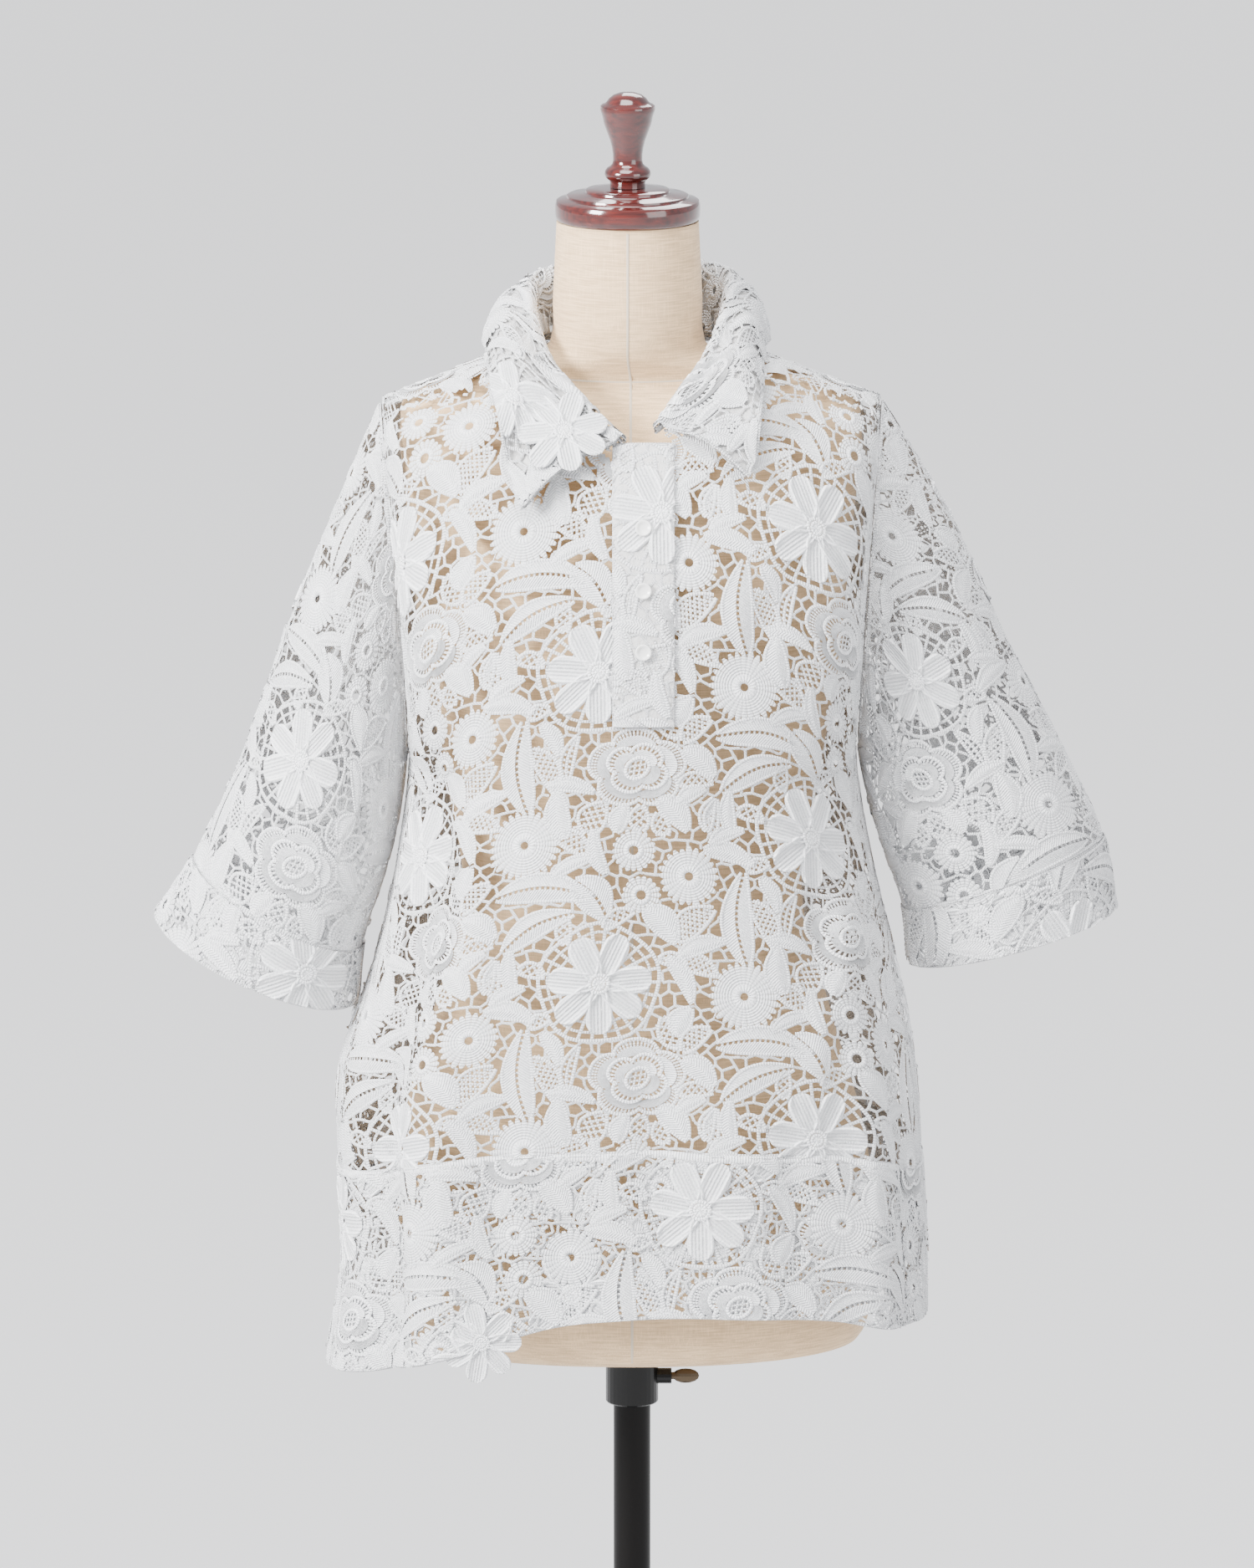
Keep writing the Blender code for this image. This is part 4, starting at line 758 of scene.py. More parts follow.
# Where each figure of the repeat stands, from the large daisy's middle: across and up in metres, the way it
# points in degrees, and its length and width.
SUNS = (
    (-0.0500, 0.0980, 0.0240, 28),
    (0.0605, 0.0730, 0.0200, 24),
    (0.0235, 0.0900, 0.0145, 20),
    (0.0285, 0.0595, 0.0130, 18),
)
LEAVES = (
    (0.0430, 0.0400, -48, 0.032, 0.018, "solid"),
    (0.0640, 0.0415, 42, 0.034, 0.018, "lattice"),
    (0.0690, 0.0250, 20, 0.034, 0.011, "solid"),
    (0.0660, 0.0120, -18, 0.030, 0.013, "lattice"),
    (0.0560, 0.0030, -62, 0.036, 0.011, "solid"),
    (-0.0360, 0.0650, -4, 0.066, 0.019, "pierced"),
    (-0.0420, 0.0400, 26, 0.054, 0.017, "pierced"),
    (-0.0040, 0.0590, -52, 0.036, 0.023, "pierced"),
    (-0.0225, 0.0380, 88, 0.020, 0.010, "lattice"),
    (0.0130, 0.0440, 28, 0.024, 0.010, "lattice"),
    (0.0500, 0.0150, -12, 0.020, 0.009, "ladder"),
    (-0.0450, 0.0110, -18, 0.020, 0.010, "lattice"),
    (-0.0600, 0.0120, 94, 0.030, 0.010, "solid"),
    (-0.0710, 0.0080, 86, 0.026, 0.010, "lattice"),
    (-0.0620, -0.0040, 24, 0.026, 0.009, "solid"),
    (-0.0600, -0.0170, -14, 0.036, 0.012, "solid"),
    (-0.0400, -0.0240, 20, 0.016, 0.009, "lattice"),
    (-0.0170, 0.0970, -36, 0.028, 0.013, "lattice"),
    (-0.0170, 0.0820, 22, 0.032, 0.008, "solid"),
    (-0.0010, 0.0900, 104, 0.032, 0.009, "solid"),
    (-0.0265, -0.0950, 98, 0.034, 0.016, "solid"),
    (-0.0030, -0.0990, 60, 0.024, 0.019, "lattice"),
    (0.0145, -0.1000, 70, 0.020, 0.012, "solid"),
    (0.0280, -0.1000, 90, 0.018, 0.013, "lattice"),
    (0.0420, -0.1040, 110, 0.017, 0.011, "lattice"),
    (0.0510, -0.0960, -48, 0.030, 0.016, "solid"),
    (-0.0190, -0.0570, 76, 0.032, 0.009, "ladder"),
    (-0.0180, -0.0765, -12, 0.032, 0.009, "solid"),
    (-0.0310, -0.0430, -62, 0.026, 0.010, "solid"),
    (-0.0350, -0.0640, -64, 0.036, 0.014, "lattice"),
    (-0.0520, -0.0610, 92, 0.064, 0.021, "pierced"),
    (0.0560, -0.0260, 62, 0.022, 0.015, "solid"),
    (0.0475, -0.0350, 118, 0.024, 0.013, "lattice"),
    (0.0650, -0.0380, 40, 0.026, 0.013, "lattice"),
    (0.0680, -0.0600, -38, 0.028, 0.015, "solid"),
    (0.0650, -0.0740, 4, 0.024, 0.010, "lattice"),
    (0.0620, -0.0830, 30, 0.022, 0.009, "solid"),
    (0.0740, -0.0960, 78, 0.024, 0.010, "lattice"),
)
ROSE = (0.0260, -0.0660, 0.066, 0.054)

# The net between the figures: uneven six-sided cells of wrapped bars.
NET_COLUMNS = 28
NET_ROWS = 26
NET_ZIGZAG = 0.0011
NET_UNEVENNESS = 0.0019
BAR_HALF_WIDTH = 0.00095
BAR_RIDGE = 0.0005


def net(outlines):
    """Honeycomb from a grid whose every other upright is taken out, each cell inset by its bar."""
    bm = bmesh.new()
    bmesh.ops.create_grid(bm, x_segments=NET_COLUMNS, y_segments=NET_ROWS, size=1)
    cells = {}
    for vertex in bm.verts:
        i = round((vertex.co.x + 1) / 2 * NET_COLUMNS)
        j = round((vertex.co.y + 1) / 2 * NET_ROWS)
        cells[vertex] = (i, j)
    spare = []
    for edge in bm.edges:
        (i, j), (k, l) = cells[edge.verts[0]], cells[edge.verts[1]]
        if i == k and 0 < i < NET_COLUMNS and (i + min(j, l)) % 2:
            spare.append(edge)
    unevenness = rng.uniform(-1, 1, (NET_COLUMNS, NET_ROWS, 2)) * NET_UNEVENNESS
    for vertex, (i, j) in cells.items():
        dx, dy = unevenness[i % NET_COLUMNS, j % NET_ROWS]
        if i % NET_COLUMNS == 0:
            dx = 0
        zigzag = NET_ZIGZAG * (-1 if (i + j) % 2 else 1)
        vertex.co = (i * REPEAT_ACROSS / NET_COLUMNS + dx, j * REPEAT_UP / NET_ROWS + dy + zigzag, 0)
    bmesh.ops.dissolve_edges(bm, edges=spare, use_verts=False)
    cell_faces = list(bm.faces)
    bmesh.ops.inset_individual(bm, faces=cell_faces, thickness=BAR_HALF_WIDTH, use_even_offset=True)
    bmesh.ops.delete(bm, geom=[face for face in cell_faces if face.is_valid], context="FACES_ONLY")
    places = np.array([tuple(face.calc_center_median())[:2] for face in bm.faces])
    hidden = np.zeros(len(places), bool)
    for outline in outlines:
        for shift in LATTICE:
            hidden |= within(places - shift, outline)
    bmesh.ops.delete(bm, geom=[face for face, gone in zip(list(bm.faces), hidden) if gone], context="FACES")
    for vertex in bm.verts:
        vertex.co.z = BAR_HEIGHT + (BAR_RIDGE if vertex in cells else 0)
    thread = bm.loops.layers.uv.new("thread")
    for face in bm.faces:
        for loop in face.loops:
            loop[thread].uv = (loop.vert.co.x + loop.vert.co.y, 0.0012 if loop.vert in cells else 0)
    return bm


def within(places, outline):
    """Whether flat places lie inside a closed outline, by counting the edges to the right of each."""
    crossings = np.zeros(len(places), int)
    x, y = places[:, 0], places[:, 1]
    for (x0, y0), (x1, y1) in zip(outline, np.roll(outline, -1, axis=0)):
        spans = (y0 > y) != (y1 > y)
        if spans.any():
            crossings += spans & (x < x0 + (y - y0) * (x1 - x0) / (y1 - y0 + 1e-12))
    return crossings % 2 == 1


class Flat:
    """A flat piece of lace as arrays: points with heights, four-cornered faces and thread places."""

    def __init__(self, *meshes):
        points, faces, threads = [], [], []
        for bm in meshes:
            bm.verts.index_update()
            start = sum(len(part) for part in points)
            layer = bm.loops.layers.uv["thread"]
            points.append(np.array([tuple(vertex.co) for vertex in bm.verts]))
            for face in bm.faces:
                if len(face.loops) == 4:
                    faces.append([loop.vert.index + start for loop in face.loops])
                    threads.append([tuple(loop[layer].uv) for loop in face.loops])
            bm.free()
        self.points = np.concatenate(points)
        self.faces = np.array(faces)
        self.threads = np.array(threads)
        flat = self.points[self.faces]
        turn = (flat[:, 2, 0] - flat[:, 0, 0]) * (flat[:, 3, 1] - flat[:, 1, 1])
        turn -= (flat[:, 2, 1] - flat[:, 0, 1]) * (flat[:, 3, 0] - flat[:, 1, 0])
        down = turn < 0
        self.faces[down] = self.faces[down][:, ::-1]
        self.threads[down] = self.threads[down][:, ::-1]


figures = Pattern()
daisy(figures)
for x, y, radius, loops in SUNS:
    sun(figures, np.array((x, y)), radius, loops)
for x, y, angle, length, wide, kind in LEAVES:
    leaf(figures, np.array((x, y)), angle, length, wide, kind)
rose(figures, ROSE[:2], ROSE[2], ROSE[3])
repeat = Flat(figures.bm, net(figures.outlines))
lone = Pattern()
daisy(lone, tied=False)
lone_daisy = Flat(lone.bm)


# The shirt's cut: the same tables as the CAD part's, so the lace lies where its solids are. Each piece is a
# grid of points on the cloth's inner face with each point's place on the flat piece.
SEAM_GAP = 0.0003
LACE = 0.0014
DOUBLE_LACE = 0.0026
BODY_COLUMNS = ("z", "right", "left", "front", "back", "roundness")
BODY = (
    (0.700, 0.209, 0.201, 0.141, 0.124, 2.9),
    (0.780, 0.197, 0.200, 0.141, 0.122, 2.9),
    (0.850, 0.200, 0.197, 0.140, 0.119, 2.9),
    (0.910, 0.199, 0.193, 0.139, 0.116, 2.9),
    (0.980, 0.176, 0.180, 0.137, 0.113, 2.9),
    (1.060, 0.158, 0.161, 0.134, 0.112, 2.8),
    (1.130, 0.150, 0.151, 0.132, 0.115, 2.6),
    (1.200, 0.153, 0.154, 0.130, 0.119, 2.5),
    (1.260, 0.158, 0.158, 0.122, 0.118, 2.4),
    (1.310, 0.163, 0.162, 0.106, 0.113, 2.3),
    (1.353, 0.167, 0.166, 0.085, 0.104, 2.3),
    (1.372, 0.168, 0.167, 0.074, 0.097, 2.2),
    (1.420, 0.168, 0.167, 0.058, 0.086, 2.2),
)
RIDGE_ROUNDING = 0.040
NECK_POINT_X = 0.062
NECK_POINT_Z = 1.4100
SHOULDER_TIP_X = 0.168
SHOULDER_TIP_Z = 1.3720
UNDERARM_Z = 1.130
ARMHOLE_HALF_DEPTH = 0.045
FRONT_NECK_Z = 1.353
BACK_NECK_Z = 1.396
NECKLINE_POWER = 1.6
HEM_COLUMNS = ("across", "front_seam", "front_hem", "back_seam", "back_hem")
HEM = (
    (-1.00, 0.845, 0.706, 0.845, 0.706),
    (-0.66, 0.869, 0.732, 0.856, 0.722),
    (-0.30, 0.877, 0.757, 0.862, 0.734),
    (0.00, 0.8795, 0.765, 0.864, 0.740),
    (0.42, 0.877, 0.765, 0.862, 0.742),
    (0.70, 0.872, 0.759, 0.858, 0.741),
    (0.87, 0.862, 0.748, 0.853, 0.740),
    (1.00, 0.846, 0.741, 0.846, 0.741),
)
BAND_GAP_SHARE = 0.004
FRONT, BACK = -1, 1
FOLD_COLUMNS = ("side", "across", "half_width", "depth", "starts_z", "full_z")
FOLDS = (
    (FRONT, -0.66, 0.10, 0.009, 1.30, 0.90),
    (FRONT, -0.88, 0.09, -0.028, 1.22, 0.86),
    (FRONT, 0.83, 0.07, 0.008, 1.30, 0.90),
    (FRONT, 0.96, 0.05, -0.010, 1.10, 0.80),
    (FRONT, -0.25, 0.13, -0.004, 0.98, 0.78),
    (FRONT, 0.38, 0.15, 0.004, 1.10, 0.80),
    (BACK, -0.70, 0.12, 0.010, 1.25, 0.80),
    (BACK, -0.42, 0.10, -0.012, 1.20, 0.80),
    (BACK, 0.05, 0.16, 0.008, 1.25, 0.80),
    (BACK, 0.50, 0.11, -0.012, 1.20, 0.80),
    (BACK, 0.78, 0.10, 0.009, 1.25, 0.80),
)

# Creases: a soft trough or ridge from one place to another on the body, x and z in metres, with
# its width and how far it stands out.
CREASE_COLUMNS = ("side", "from_x", "from_z", "to_x", "to_z", "half_width", "depth")
CREASES = (
    (FRONT, -0.135, 1.120, -0.112, 0.930, 0.0110, -0.0043),
    (FRONT, -0.118, 1.240, -0.086, 1.085, 0.0125, -0.0035),
    (FRONT, -0.140, 1.325, -0.096, 1.262, 0.0100, -0.0027),
    (FRONT, 0.132, 1.160, 0.128, 0.985, 0.0115, -0.0046),
    (FRONT, 0.150, 1.070, 0.118, 0.905, 0.0105, 0.0041),
    (FRONT, 0.122, 1.290, 0.070, 1.205, 0.0130, -0.0032),
    (FRONT, 0.060, 1.150, 0.074, 0.960, 0.0160, -0.0030),
    (FRONT, -0.030, 1.090, -0.046, 0.905, 0.0170, 0.0032),
    (FRONT, 0.012, 0.990, 0.020, 0.800, 0.0150, -0.0038),
    (FRONT, -0.085, 0.930, -0.098, 0.770, 0.0120, -0.0041),
    (FRONT, 0.105, 0.900, 0.112, 0.775, 0.0115, -0.0035),
    (BACK, -0.130, 1.290, -0.075, 1.160, 0.0130, -0.0041),
    (BACK, 0.128, 1.270, 0.085, 1.120, 0.0120, -0.0038),
    (BACK, -0.030, 1.200, -0.042, 0.980, 0.0180, 0.0041),
    (BACK, 0.040, 1.110, 0.058, 0.870, 0.0160, -0.0043),
    (BACK, -0.105, 1.050, -0.118, 0.800, 0.0140, -0.0049),
    (BACK, 0.140, 1.040, 0.132, 0.850, 0.0110, 0.0041),
    (BACK, -0.010, 0.930, -0.004, 0.770, 0.0150, -0.0035),
)


def half_width(z, across):
    right = read(BODY_COLUMNS, BODY, "right", z)
    left = read(BODY_COLUMNS, BODY, "left", z)
    return np.where(across < 0, right, left)


def shoulder_z(x):
    """Height of the shoulder's ridge, which slopes evenly from the neck point to the tip."""
    slope = (NECK_POINT_Z - SHOULDER_TIP_Z) / (SHOULDER_TIP_X - NECK_POINT_X)
    return NECK_POINT_Z - (np.abs(x) - NECK_POINT_X) * slope


def top_edge_z(side, x):
    """Height of a panel's top edge: the shoulder seam, and the neckline between the neck points."""
    lowest = FRONT_NECK_Z if side == FRONT else BACK_NECK_Z
    share = np.clip(np.abs(x) / NECK_POINT_X, 0, 1)
    neckline = lowest + (NECK_POINT_Z - lowest) * share**NECKLINE_POWER
    return np.where(np.abs(x) < NECK_POINT_X, neckline, shoulder_z(x))


def armhole_depth(z):
    """Half the distance between the front and back panels' edges at the armhole, and 0 below it."""
    middle = (SHOULDER_TIP_Z + UNDERARM_Z) / 2
    half = (SHOULDER_TIP_Z - UNDERARM_Z) / 2
    return ARMHOLE_HALF_DEPTH * np.sqrt(np.clip(1 - ((z - middle) / half) ** 2, 0, 1))


def creased(side, x, z):
    """How far the listed creases push the cloth out at a place."""
    push = np.zeros(np.shape(x))
    for row in CREASES:
        crease = dict(zip(CREASE_COLUMNS, row))
        if crease["side"] != side:
            continue
        start = np.array([crease["from_x"], crease["from_z"]])
        run = np.array([crease["to_x"], crease["to_z"]]) - start
        along = ((x - start[0]) * run[0] + (z - start[1]) * run[1]) / (run @ run)
        near = np.clip(along, 0, 1)
        away = np.hypot(x - start[0] - near * run[0], z - start[1] - near * run[1])
        taper = np.sin(math.pi * (0.12 + 0.76 * near))
        push += crease["depth"] * taper * np.exp(-((away / crease["half_width"]) ** 2))
    return push


def body_point(side, across, down):
    """The shirt body's inner face: down is 0 at the top edge, 1 at the hem band's seam and 2 at the hem."""
    across, down = np.broadcast_arrays(np.asarray(across, float), np.asarray(down, float))
    top = np.full(across.shape, NECK_POINT_Z)
    for _ in range(4):
        top = top_edge_z(side, across * half_width(top, across))
    name = "front" if side == FRONT else "back"
    seam = read(HEM_COLUMNS, HEM, name + "_seam", across)
    hem = read(HEM_COLUMNS, HEM, name + "_hem", across)
    z = np.where(down <= 1, top + (seam - top) * down, seam + (hem - seam) * (down - 1))
    reach = half_width(z, across)
    x = across * reach
    power = read(BODY_COLUMNS, BODY, "roundness", z)
    depth = read(BODY_COLUMNS, BODY, name, z)
    bow = np.clip(1 - np.abs(across) ** power, 0, 1) ** (1 / power)
    below_ridge = np.clip((shoulder_z(x) - z) / RIDGE_ROUNDING, 0, 1)
    rounded = np.sqrt(1 - (1 - below_ridge) ** 2)
    edge = armhole_depth(z)
    out = rounded * (edge + (depth - edge) * bow)
    push = np.zeros(across.shape)
    for row in FOLDS:
        fold = dict(zip(FOLD_COLUMNS, row))
        if fold["side"] == side:
            grown = np.clip((fold["starts_z"] - z) / (fold["starts_z"] - fold["full_z"]), 0, 1)
            push += fold["depth"] * grown * np.exp(-(((across - fold["across"]) / fold["half_width"]) ** 2))
    push += creased(side, x, z)
    sideways = np.sign(across) * np.abs(across) ** (power - 1) / reach
    outward = bow ** (power - 1) / depth
    length = np.hypot(sideways, outward)
    held = 1 - np.abs(across) ** 12
    x = x + push * held * sideways / length
    out = out + push * held * outward / length
    return np.stack([x, side * (out + SEAM_GAP / 2), z], axis=-1)


def even_columns(side, count):
    """Places across a panel that are evenly spaced round it at the height of its lower seam."""
    angle = np.linspace(-math.pi / 2, math.pi / 2, 400)
    across = np.sin(angle)
    points = body_point(side, across, 1.0)
    length = run_along(points)
    return np.interp(np.linspace(0, length[-1], count + 1), length, across)


COARSE_STEP = 5
FIND_STEPS = 12
FIND_REACH = 3
FOUND_WITHIN = 0.0006


def bilinear(grid, row, column):
    """Value of a grid at fractional rows and columns, running on past its edges."""
    row, column = np.broadcast_arrays(np.asarray(row, float), np.asarray(column, float))
    r = np.clip(np.floor(row).astype(int), 0, grid.shape[0] - 2)
    c = np.clip(np.floor(column).astype(int), 0, grid.shape[1] - 2)
    fr, fc = row - r, column - c
    if grid.ndim == 3:
        fr, fc = fr[..., None], fc[..., None]
    above = grid[r, c] * (1 - fc) + grid[r, c + 1] * fc
    below = grid[r + 1, c] * (1 - fc) + grid[r + 1, c + 1] * fc
    return above * (1 - fr) + below * fr


class Cloth:
    """A grid of points on a piece of cloth, with each point's place on the flat cut piece."""

    def __init__(self, points, seam_row, outward_sign):
        self.points = points
        self.rows, self.columns = points.shape[0] - 1, points.shape[1] - 1
        down = np.gradient(points, axis=0)
        across = np.gradient(points, axis=1)
        normals = np.cross(down, across) * outward_sign
        self.normals = normals / np.linalg.norm(normals, axis=2, keepdims=True)
        steps = np.linalg.norm(np.diff(points, axis=1), axis=2)
        run = np.concatenate([np.zeros((self.rows + 1, 1)), np.cumsum(steps, axis=1)], axis=1)
        self.flat_across = run - run[:, [self.columns // 2]]
        steps = np.linalg.norm(np.diff(points, axis=0), axis=2)
        run = np.concatenate([np.zeros((1, self.columns + 1)), np.cumsum(steps, axis=0)], axis=0)
        self.flat_up = run[[seam_row], :] - run

    def find(self, across, up):
        """Fractional row and column of places on the flat piece, and which of them were found."""
        coarse_rows = np.arange(1, self.rows, COARSE_STEP)
        coarse_columns = np.arange(1, self.columns, COARSE_STEP)
        grid = np.ix_(coarse_rows, coarse_columns)
        beside = across[:, None] - self.flat_across[grid].ravel()
        above = up[:, None] - self.flat_up[grid].ravel()
        nearest = (beside**2 + above**2).argmin(axis=1)
        row = coarse_rows[nearest // len(coarse_columns)].astype(float)
        column = coarse_columns[nearest % len(coarse_columns)].astype(float)

        def change(values, rows, columns):
            ahead = bilinear(values, row + rows, column + columns)
            return ahead - bilinear(values, row - rows, column - columns)

        half = 0.25
        for _ in range(FIND_STEPS):
            a_row, u_row = change(self.flat_across, half, 0), change(self.flat_up, half, 0)
            a_column, u_column = change(self.flat_across, 0, half), change(self.flat_up, 0, half)
            a_short = across - bilinear(self.flat_across, row, column)
            u_short = up - bilinear(self.flat_up, row, column)
            spread = a_row * u_column - a_column * u_row
            spread = np.where(np.abs(spread) < 1e-12, 1e-12, spread)
            row_step = 2 * half * (a_short * u_column - a_column * u_short) / spread
            column_step = 2 * half * (a_row * u_short - a_short * u_row) / spread
            row = row + np.clip(row_step, -FIND_REACH, FIND_REACH)
            column = column + np.clip(column_step, -FIND_REACH, FIND_REACH)
        a_short = across - bilinear(self.flat_across, row, column)
        u_short = up - bilinear(self.flat_up, row, column)
        return row, column, np.hypot(a_short, u_short) < FOUND_WITHIN

    def place(self, row, column, out):
        """A point moved out from the cloth's inner face."""
        normals = bilinear(self.normals, row, column)
        return bilinear(self.points, row, column) + np.asarray(out)[..., None] * normals

    def area(self):
        """Area of the cloth, from its cells."""
        across = np.diff(self.points, axis=1)
        down = np.diff(self.points, axis=0)
        return float(np.linalg.norm(np.cross(across[:-1], down[:, :-1]), axis=2).sum())

    def flat_size(self):
        """Width and length of the cut piece."""
        return float(np.ptp(self.flat_across)), float(np.ptp(self.flat_up))


MOST_STRETCH = 2.6
STRETCH_SLACK = 0.0012
EDGE_MARGIN = 0.01


def lace_faces(cloth, flat, origin, lift, inside):
    """Places one flat piece on the cloth: its points, the faces that are kept and the thread's places."""
    across, up = flat.points[:, 0] + origin[0], flat.points[:, 1] + origin[1]
    near = (across > cloth.flat_across.min() - EDGE_MARGIN) & (across < cloth.flat_across.max() + EDGE_MARGIN)
    near &= (up > cloth.flat_up.min() - EDGE_MARGIN) & (up < cloth.flat_up.max() + EDGE_MARGIN)
    if not near.any():
        return None
    rows, columns, found = np.full(len(near), -9.0), np.full(len(near), -9.0), np.zeros(len(near), bool)
    rows[near], columns[near], found[near] = cloth.find(across[near], up[near])
    within = (rows > 0) & (rows < cloth.rows) & (columns > 0) & (columns < cloth.columns)
    kept = within[flat.faces].any(axis=1) & found[flat.faces].all(axis=1)
    if not kept.any():
        return None
    middle_row, middle_column = rows[flat.faces].mean(axis=1), columns[flat.faces].mean(axis=1)
    kept &= inside(middle_row, middle_column)
    rows = np.clip(rows, 0, cloth.rows)
    columns = np.clip(columns, 0, cloth.columns)
    used, faces = np.unique(flat.faces[kept], return_inverse=True)
    faces = faces.reshape(-1, 4)
    points = cloth.place(rows[used], columns[used], flat.points[used, 2] + lift)
    flat_corners = flat.points[flat.faces[kept]]
    sound = np.ones(len(faces), bool)
    for start, end in ((0, 2), (1, 3), (0, 1), (1, 2), (2, 3), (3, 0)):
        long = np.linalg.norm(points[faces[:, end]] - points[faces[:, start]], axis=1)
        cut_long = np.linalg.norm(flat_corners[:, end] - flat_corners[:, start], axis=1)
        sound &= long < MOST_STRETCH * cut_long + STRETCH_SLACK
    return points, faces[sound], flat.threads[kept][sound], flat.points[used, 2]


LEAST_FACE = 1e-9


def joined(name, parts, finish):
    """One object from several sets of points, four-cornered faces and thread places."""
    points = np.concatenate([part[0] for part in parts])
    starts = np.cumsum([0] + [len(part[0]) for part in parts[:-1]])
    faces = np.concatenate([part[1] + start for part, start in zip(parts, starts)])
    threads = np.concatenate([part[2] for part in parts])
    relief = np.concatenate([part[3] for part in parts])
    corners = points[faces]
    area = np.linalg.norm(np.cross(corners[:, 2] - corners[:, 0], corners[:, 3] - corners[:, 1]), axis=1)
    faces, threads = faces[area > LEAST_FACE], threads[area > LEAST_FACE]
    used, faces = np.unique(faces, return_inverse=True)
    points, relief = points[used], relief[used]
    faces = faces.reshape(-1, 4)
    mesh = bpy.data.meshes.new(name)
    mesh.from_pydata(points.tolist(), [], faces.tolist())
    layer = mesh.uv_layers.new(name="thread")
    layer.data.foreach_set("uv", threads.reshape(-1).astype(np.float32))
    # The heights are kept as the relief attribute, which the thread's material turns into painted shade where
    # the lace lies low.
    heights = mesh.attributes.new("relief", "FLOAT", "POINT")
    heights.data.foreach_set("value", (relief * 1000).astype(np.float32))
    mesh.materials.append(finish)
    mesh.shade_smooth()
    made = bpy.data.objects.new(name, mesh)
    bpy.context.scene.collection.objects.link(made)
    return made


REPEAT_ORIGINS = {
    "front": (-0.0225, 0.118),
    "back": (0.0200, 0.110),
    "sleeve_right_front": (-0.030, 0.110),
    "sleeve_right_back": (0.020, 0.070),
    "sleeve_left_front": (0.000, 0.155),
    "sleeve_left_back": (0.010, 0.080),
    "hem_front": (0.046, -0.037),
    "hem_back": (-0.030, -0.060),
    "cuff_right_front": (0.030, -0.020),
    "cuff_right_back": (-0.020, -0.030),
    "cuff_left_front": (-0.040, -0.060),
    "cuff_left_back": (0.015, -0.010),
}


def everywhere(row, column):
    return np.ones(np.shape(row), bool)


REPEATS_OUT = 8


def cover(cloth, origin, lift=0.0, inside=everywhere):
    """The repeat over all of a piece of cloth."""
    across, up = cloth.flat_across, cloth.flat_up
    parts = []
    for i in range(-REPEATS_OUT, REPEATS_OUT + 1):
        for j in range(-REPEATS_OUT, REPEATS_OUT + 1):
            start = (origin[0] + i * REPEAT_ACROSS, origin[1] + j * REPEAT_UP + (i % 2) * REPEAT_UP / 2)
            beside = start[0] + 2 * REPEAT_ACROSS < across.min() or start[0] - REPEAT_ACROSS > across.max()
            beyond = start[1] + 2 * REPEAT_UP < up.min() or start[1] - REPEAT_UP > up.max()
            if not (beside or beyond):
                part = lace_faces(cloth, repeat, start, lift, inside)
                if part is not None:
                    parts.append(part)
    return parts


def edge_cord(cloth, rows, columns, half_width, height, rise):
    """A raised cord along a line of fractional rows and columns on the cloth."""
    rows, columns = np.asarray(rows, float), np.asarray(columns, float)
    middle = cloth.place(rows, columns, np.full(len(rows), height + rise))
    normals = bilinear(cloth.normals, rows, columns)
    slope = np.gradient(middle, axis=0)
    side = np.cross(normals, slope)
    side /= np.linalg.norm(side, axis=1, keepdims=True)
    low = middle - normals * rise
    lines = np.stack([low - side * half_width, middle, low + side * half_width], axis=1)
    count = len(rows)
    index = np.arange(count * 3).reshape(count, 3)
    faces = []
    threads = []
    run = run_along(middle)
    for k in (0, 1):
        faces.append(np.stack([index[:-1, k], index[:-1, k + 1], index[1:, k + 1], index[1:, k]], axis=1))
        beside = (k * 0.001, (k + 1) * 0.001)
        corners = ((run[:-1], 0), (run[:-1], 1), (run[1:], 1), (run[1:], 0))
        corners = [np.stack([place, np.full(count - 1, beside[j])], axis=1) for place, j in corners]
        threads.append(np.stack(corners, axis=1))
    faces = np.concatenate(faces)
    points = lines.reshape(-1, 3)
    first = points[faces[0]]
    if np.dot(np.cross(first[1] - first[0], first[2] - first[0]), normals[0]) < 0:
        faces = faces[:, ::-1]
        threads = [part[:, ::-1] for part in threads]
    relief = np.tile([height, height + rise, height], count)
    return points, faces, np.concatenate(threads), relief


# Front and back panels: one layer of the lace each, from the shoulder seams and the neckline to the band's
# seam, their cut edges held by a corded stitch. The front is slit down its middle for the placket.
PLACKET_X = 0.0075
PLACKET_HALF_WIDTH = 0.0200
SLOT_HALF_WIDTH = 0.0145
PLACKET_TOP_Z = 1.3480
PLACKET_BOTTOM_Z = 1.1720
SLOT_BOTTOM_Z = 1.1820
EDGE_HALF_WIDTH = 0.0013
EDGE_RISE = 0.0009
EDGE_BASE = 0.0004
EDGE_INSET_ROWS = 0.12
EDGE_INSET_COLUMNS = 0.2


ROUND_LEVELS = 48
ROUND_PLACES = 160
ROUND_FROM_Z, ROUND_TO_Z, ROUND_SPAN = 0.70, 1.42, 0.72


